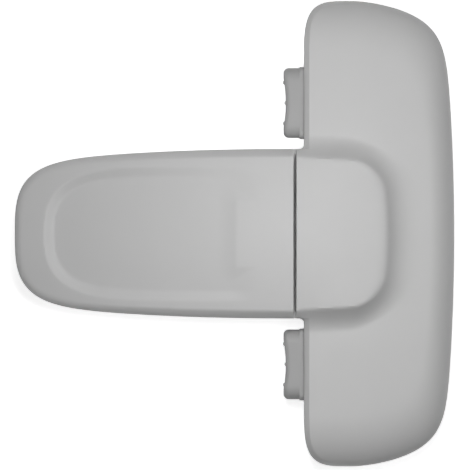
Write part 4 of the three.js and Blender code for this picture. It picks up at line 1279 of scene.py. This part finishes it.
def floor():
    """White to the camera with its shadows kept, and open from below to the eye and the lamp."""
    made, tree, surface = shader("floor_white")
    surface.inputs["Base Color"].default_value = (*grey(FLOOR_GREY), 1)
    surface.inputs["Roughness"].default_value = FLOOR_ROUGHNESS
    surface.inputs["Specular IOR Level"].default_value = 0.0
    output = next(n for n in tree.nodes if n.type == "OUTPUT_MATERIAL")
    lift = tree.nodes.new("ShaderNodeMath")
    lift.operation = "MULTIPLY"
    lift.inputs[1].default_value = FLOOR_LIFT
    tree.links.new(background_ray(tree), lift.inputs[0])
    surface.inputs["Emission Color"].default_value = (1, 1, 1, 1)
    tree.links.new(lift.outputs["Value"], surface.inputs["Emission Strength"])
    clear = tree.nodes.new("ShaderNodeBsdfTransparent")
    side = tree.nodes.new("ShaderNodeNewGeometry")
    path = tree.nodes.new("ShaderNodeLightPath")
    passes = either(tree, side.outputs["Backfacing"], path.outputs["Is Shadow Ray"])
    blend = tree.nodes.new("ShaderNodeMixShader")
    tree.links.new(passes, blend.inputs["Fac"])
    tree.links.new(surface.outputs["BSDF"], blend.inputs[1])
    tree.links.new(clear.outputs["BSDF"], blend.inputs[2])
    tree.links.new(blend.outputs["Shader"], output.inputs["Surface"])
    mesh = bpy.data.meshes.new("floor")
    corners = [
        (x * FLOOR_REACH * MM, y * FLOOR_REACH * MM, -FLOOR_BELOW * MM)
        for x, y in ((-1, -1), (1, -1), (1, 1), (-1, 1))
    ]
    mesh.from_pydata(corners, [], [(0, 1, 2, 3)])
    mesh.materials.append(made)
    obj = bpy.data.objects.new("floor", mesh)
    bpy.context.scene.collection.objects.link(obj)


def lamp(name, place_mm, size, power):
    data = bpy.data.lights.new(name, "AREA")
    data.shape = "DISK"
    data.size = size * MM
    data.energy = power
    obj = bpy.data.objects.new(name, data)
    obj.location = Vector(place_mm) * MM
    obj.rotation_euler = (Vector((0, 0, 0)) - obj.location).to_track_quat("-Z", "Y").to_euler()
    obj.visible_camera = False
    bpy.context.scene.collection.objects.link(obj)


def world():
    made = bpy.data.worlds.new("world")
    made.use_nodes = True
    tree = made.node_tree
    tree.nodes.clear()
    output = tree.nodes.new("ShaderNodeOutputWorld")
    sky = tree.nodes.new("ShaderNodeBackground")
    sky.inputs["Strength"].default_value = WORLD_LIGHT
    white = tree.nodes.new("ShaderNodeBackground")
    blend = tree.nodes.new("ShaderNodeMixShader")
    tree.links.new(background_ray(tree), blend.inputs["Fac"])
    tree.links.new(sky.outputs["Background"], blend.inputs[1])
    tree.links.new(white.outputs["Background"], blend.inputs[2])
    tree.links.new(blend.outputs["Shader"], output.inputs["Surface"])
    bpy.context.scene.world = made


# The scene

camera()
floor()
world()
for name, settings in LAMPS.items():
    lamp(name, *settings)

place(arm_base(), "base", "inner_grey", "arm_base")
place(arm_pad(), "base", "foam_white", "arm_adhesive_pad")
place(keeper_plate(), "base", "inner_grey", "keeper_plate")
place(keeper_pad(), "base", "foam_white", "keeper_adhesive_pad")
place(handle_back(), "handle", "inner_grey", "handle_back")
place(hinge_pin(), "handle", "pin_steel", "hinge_pin")
for i, (x, y) in enumerate(ARM_SCREWS, 1):
    place(screw(f"screw_arm_{i}", x, y, PAD_THICK), "base", "screw_steel", f"arm_screw_{i}")
for i, (x, y) in enumerate(HEAD_SCREWS, 1):
    place(screw(f"screw_handle_{i}", x, y, HEAD_Z), "handle", "screw_steel", f"handle_screw_{i}")
place(arm_cover(), "base", "shell_grey", "arm_cover")
place(handle_cover(), "handle", "shell_grey", "handle_cover")
for side, name in ((1, "upper"), (-1, "lower")):
    # The buttons take the darker grey, which carries painted shade from the handle's wall
    place(button(side, f"finger_button_{name}"), f"button_{name}", "button_grey", f"button_{name}")
    place(catch_hook(side, f"hook_{name}"), "base", "hook_white", f"catch_hook_{name}")
    coil = place(spring(side, f"spring_{name}"), "handle", "spring_steel", f"button_spring_{name}")
    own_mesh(coil)

bpy.context.scene.view_settings.view_transform = "Standard"
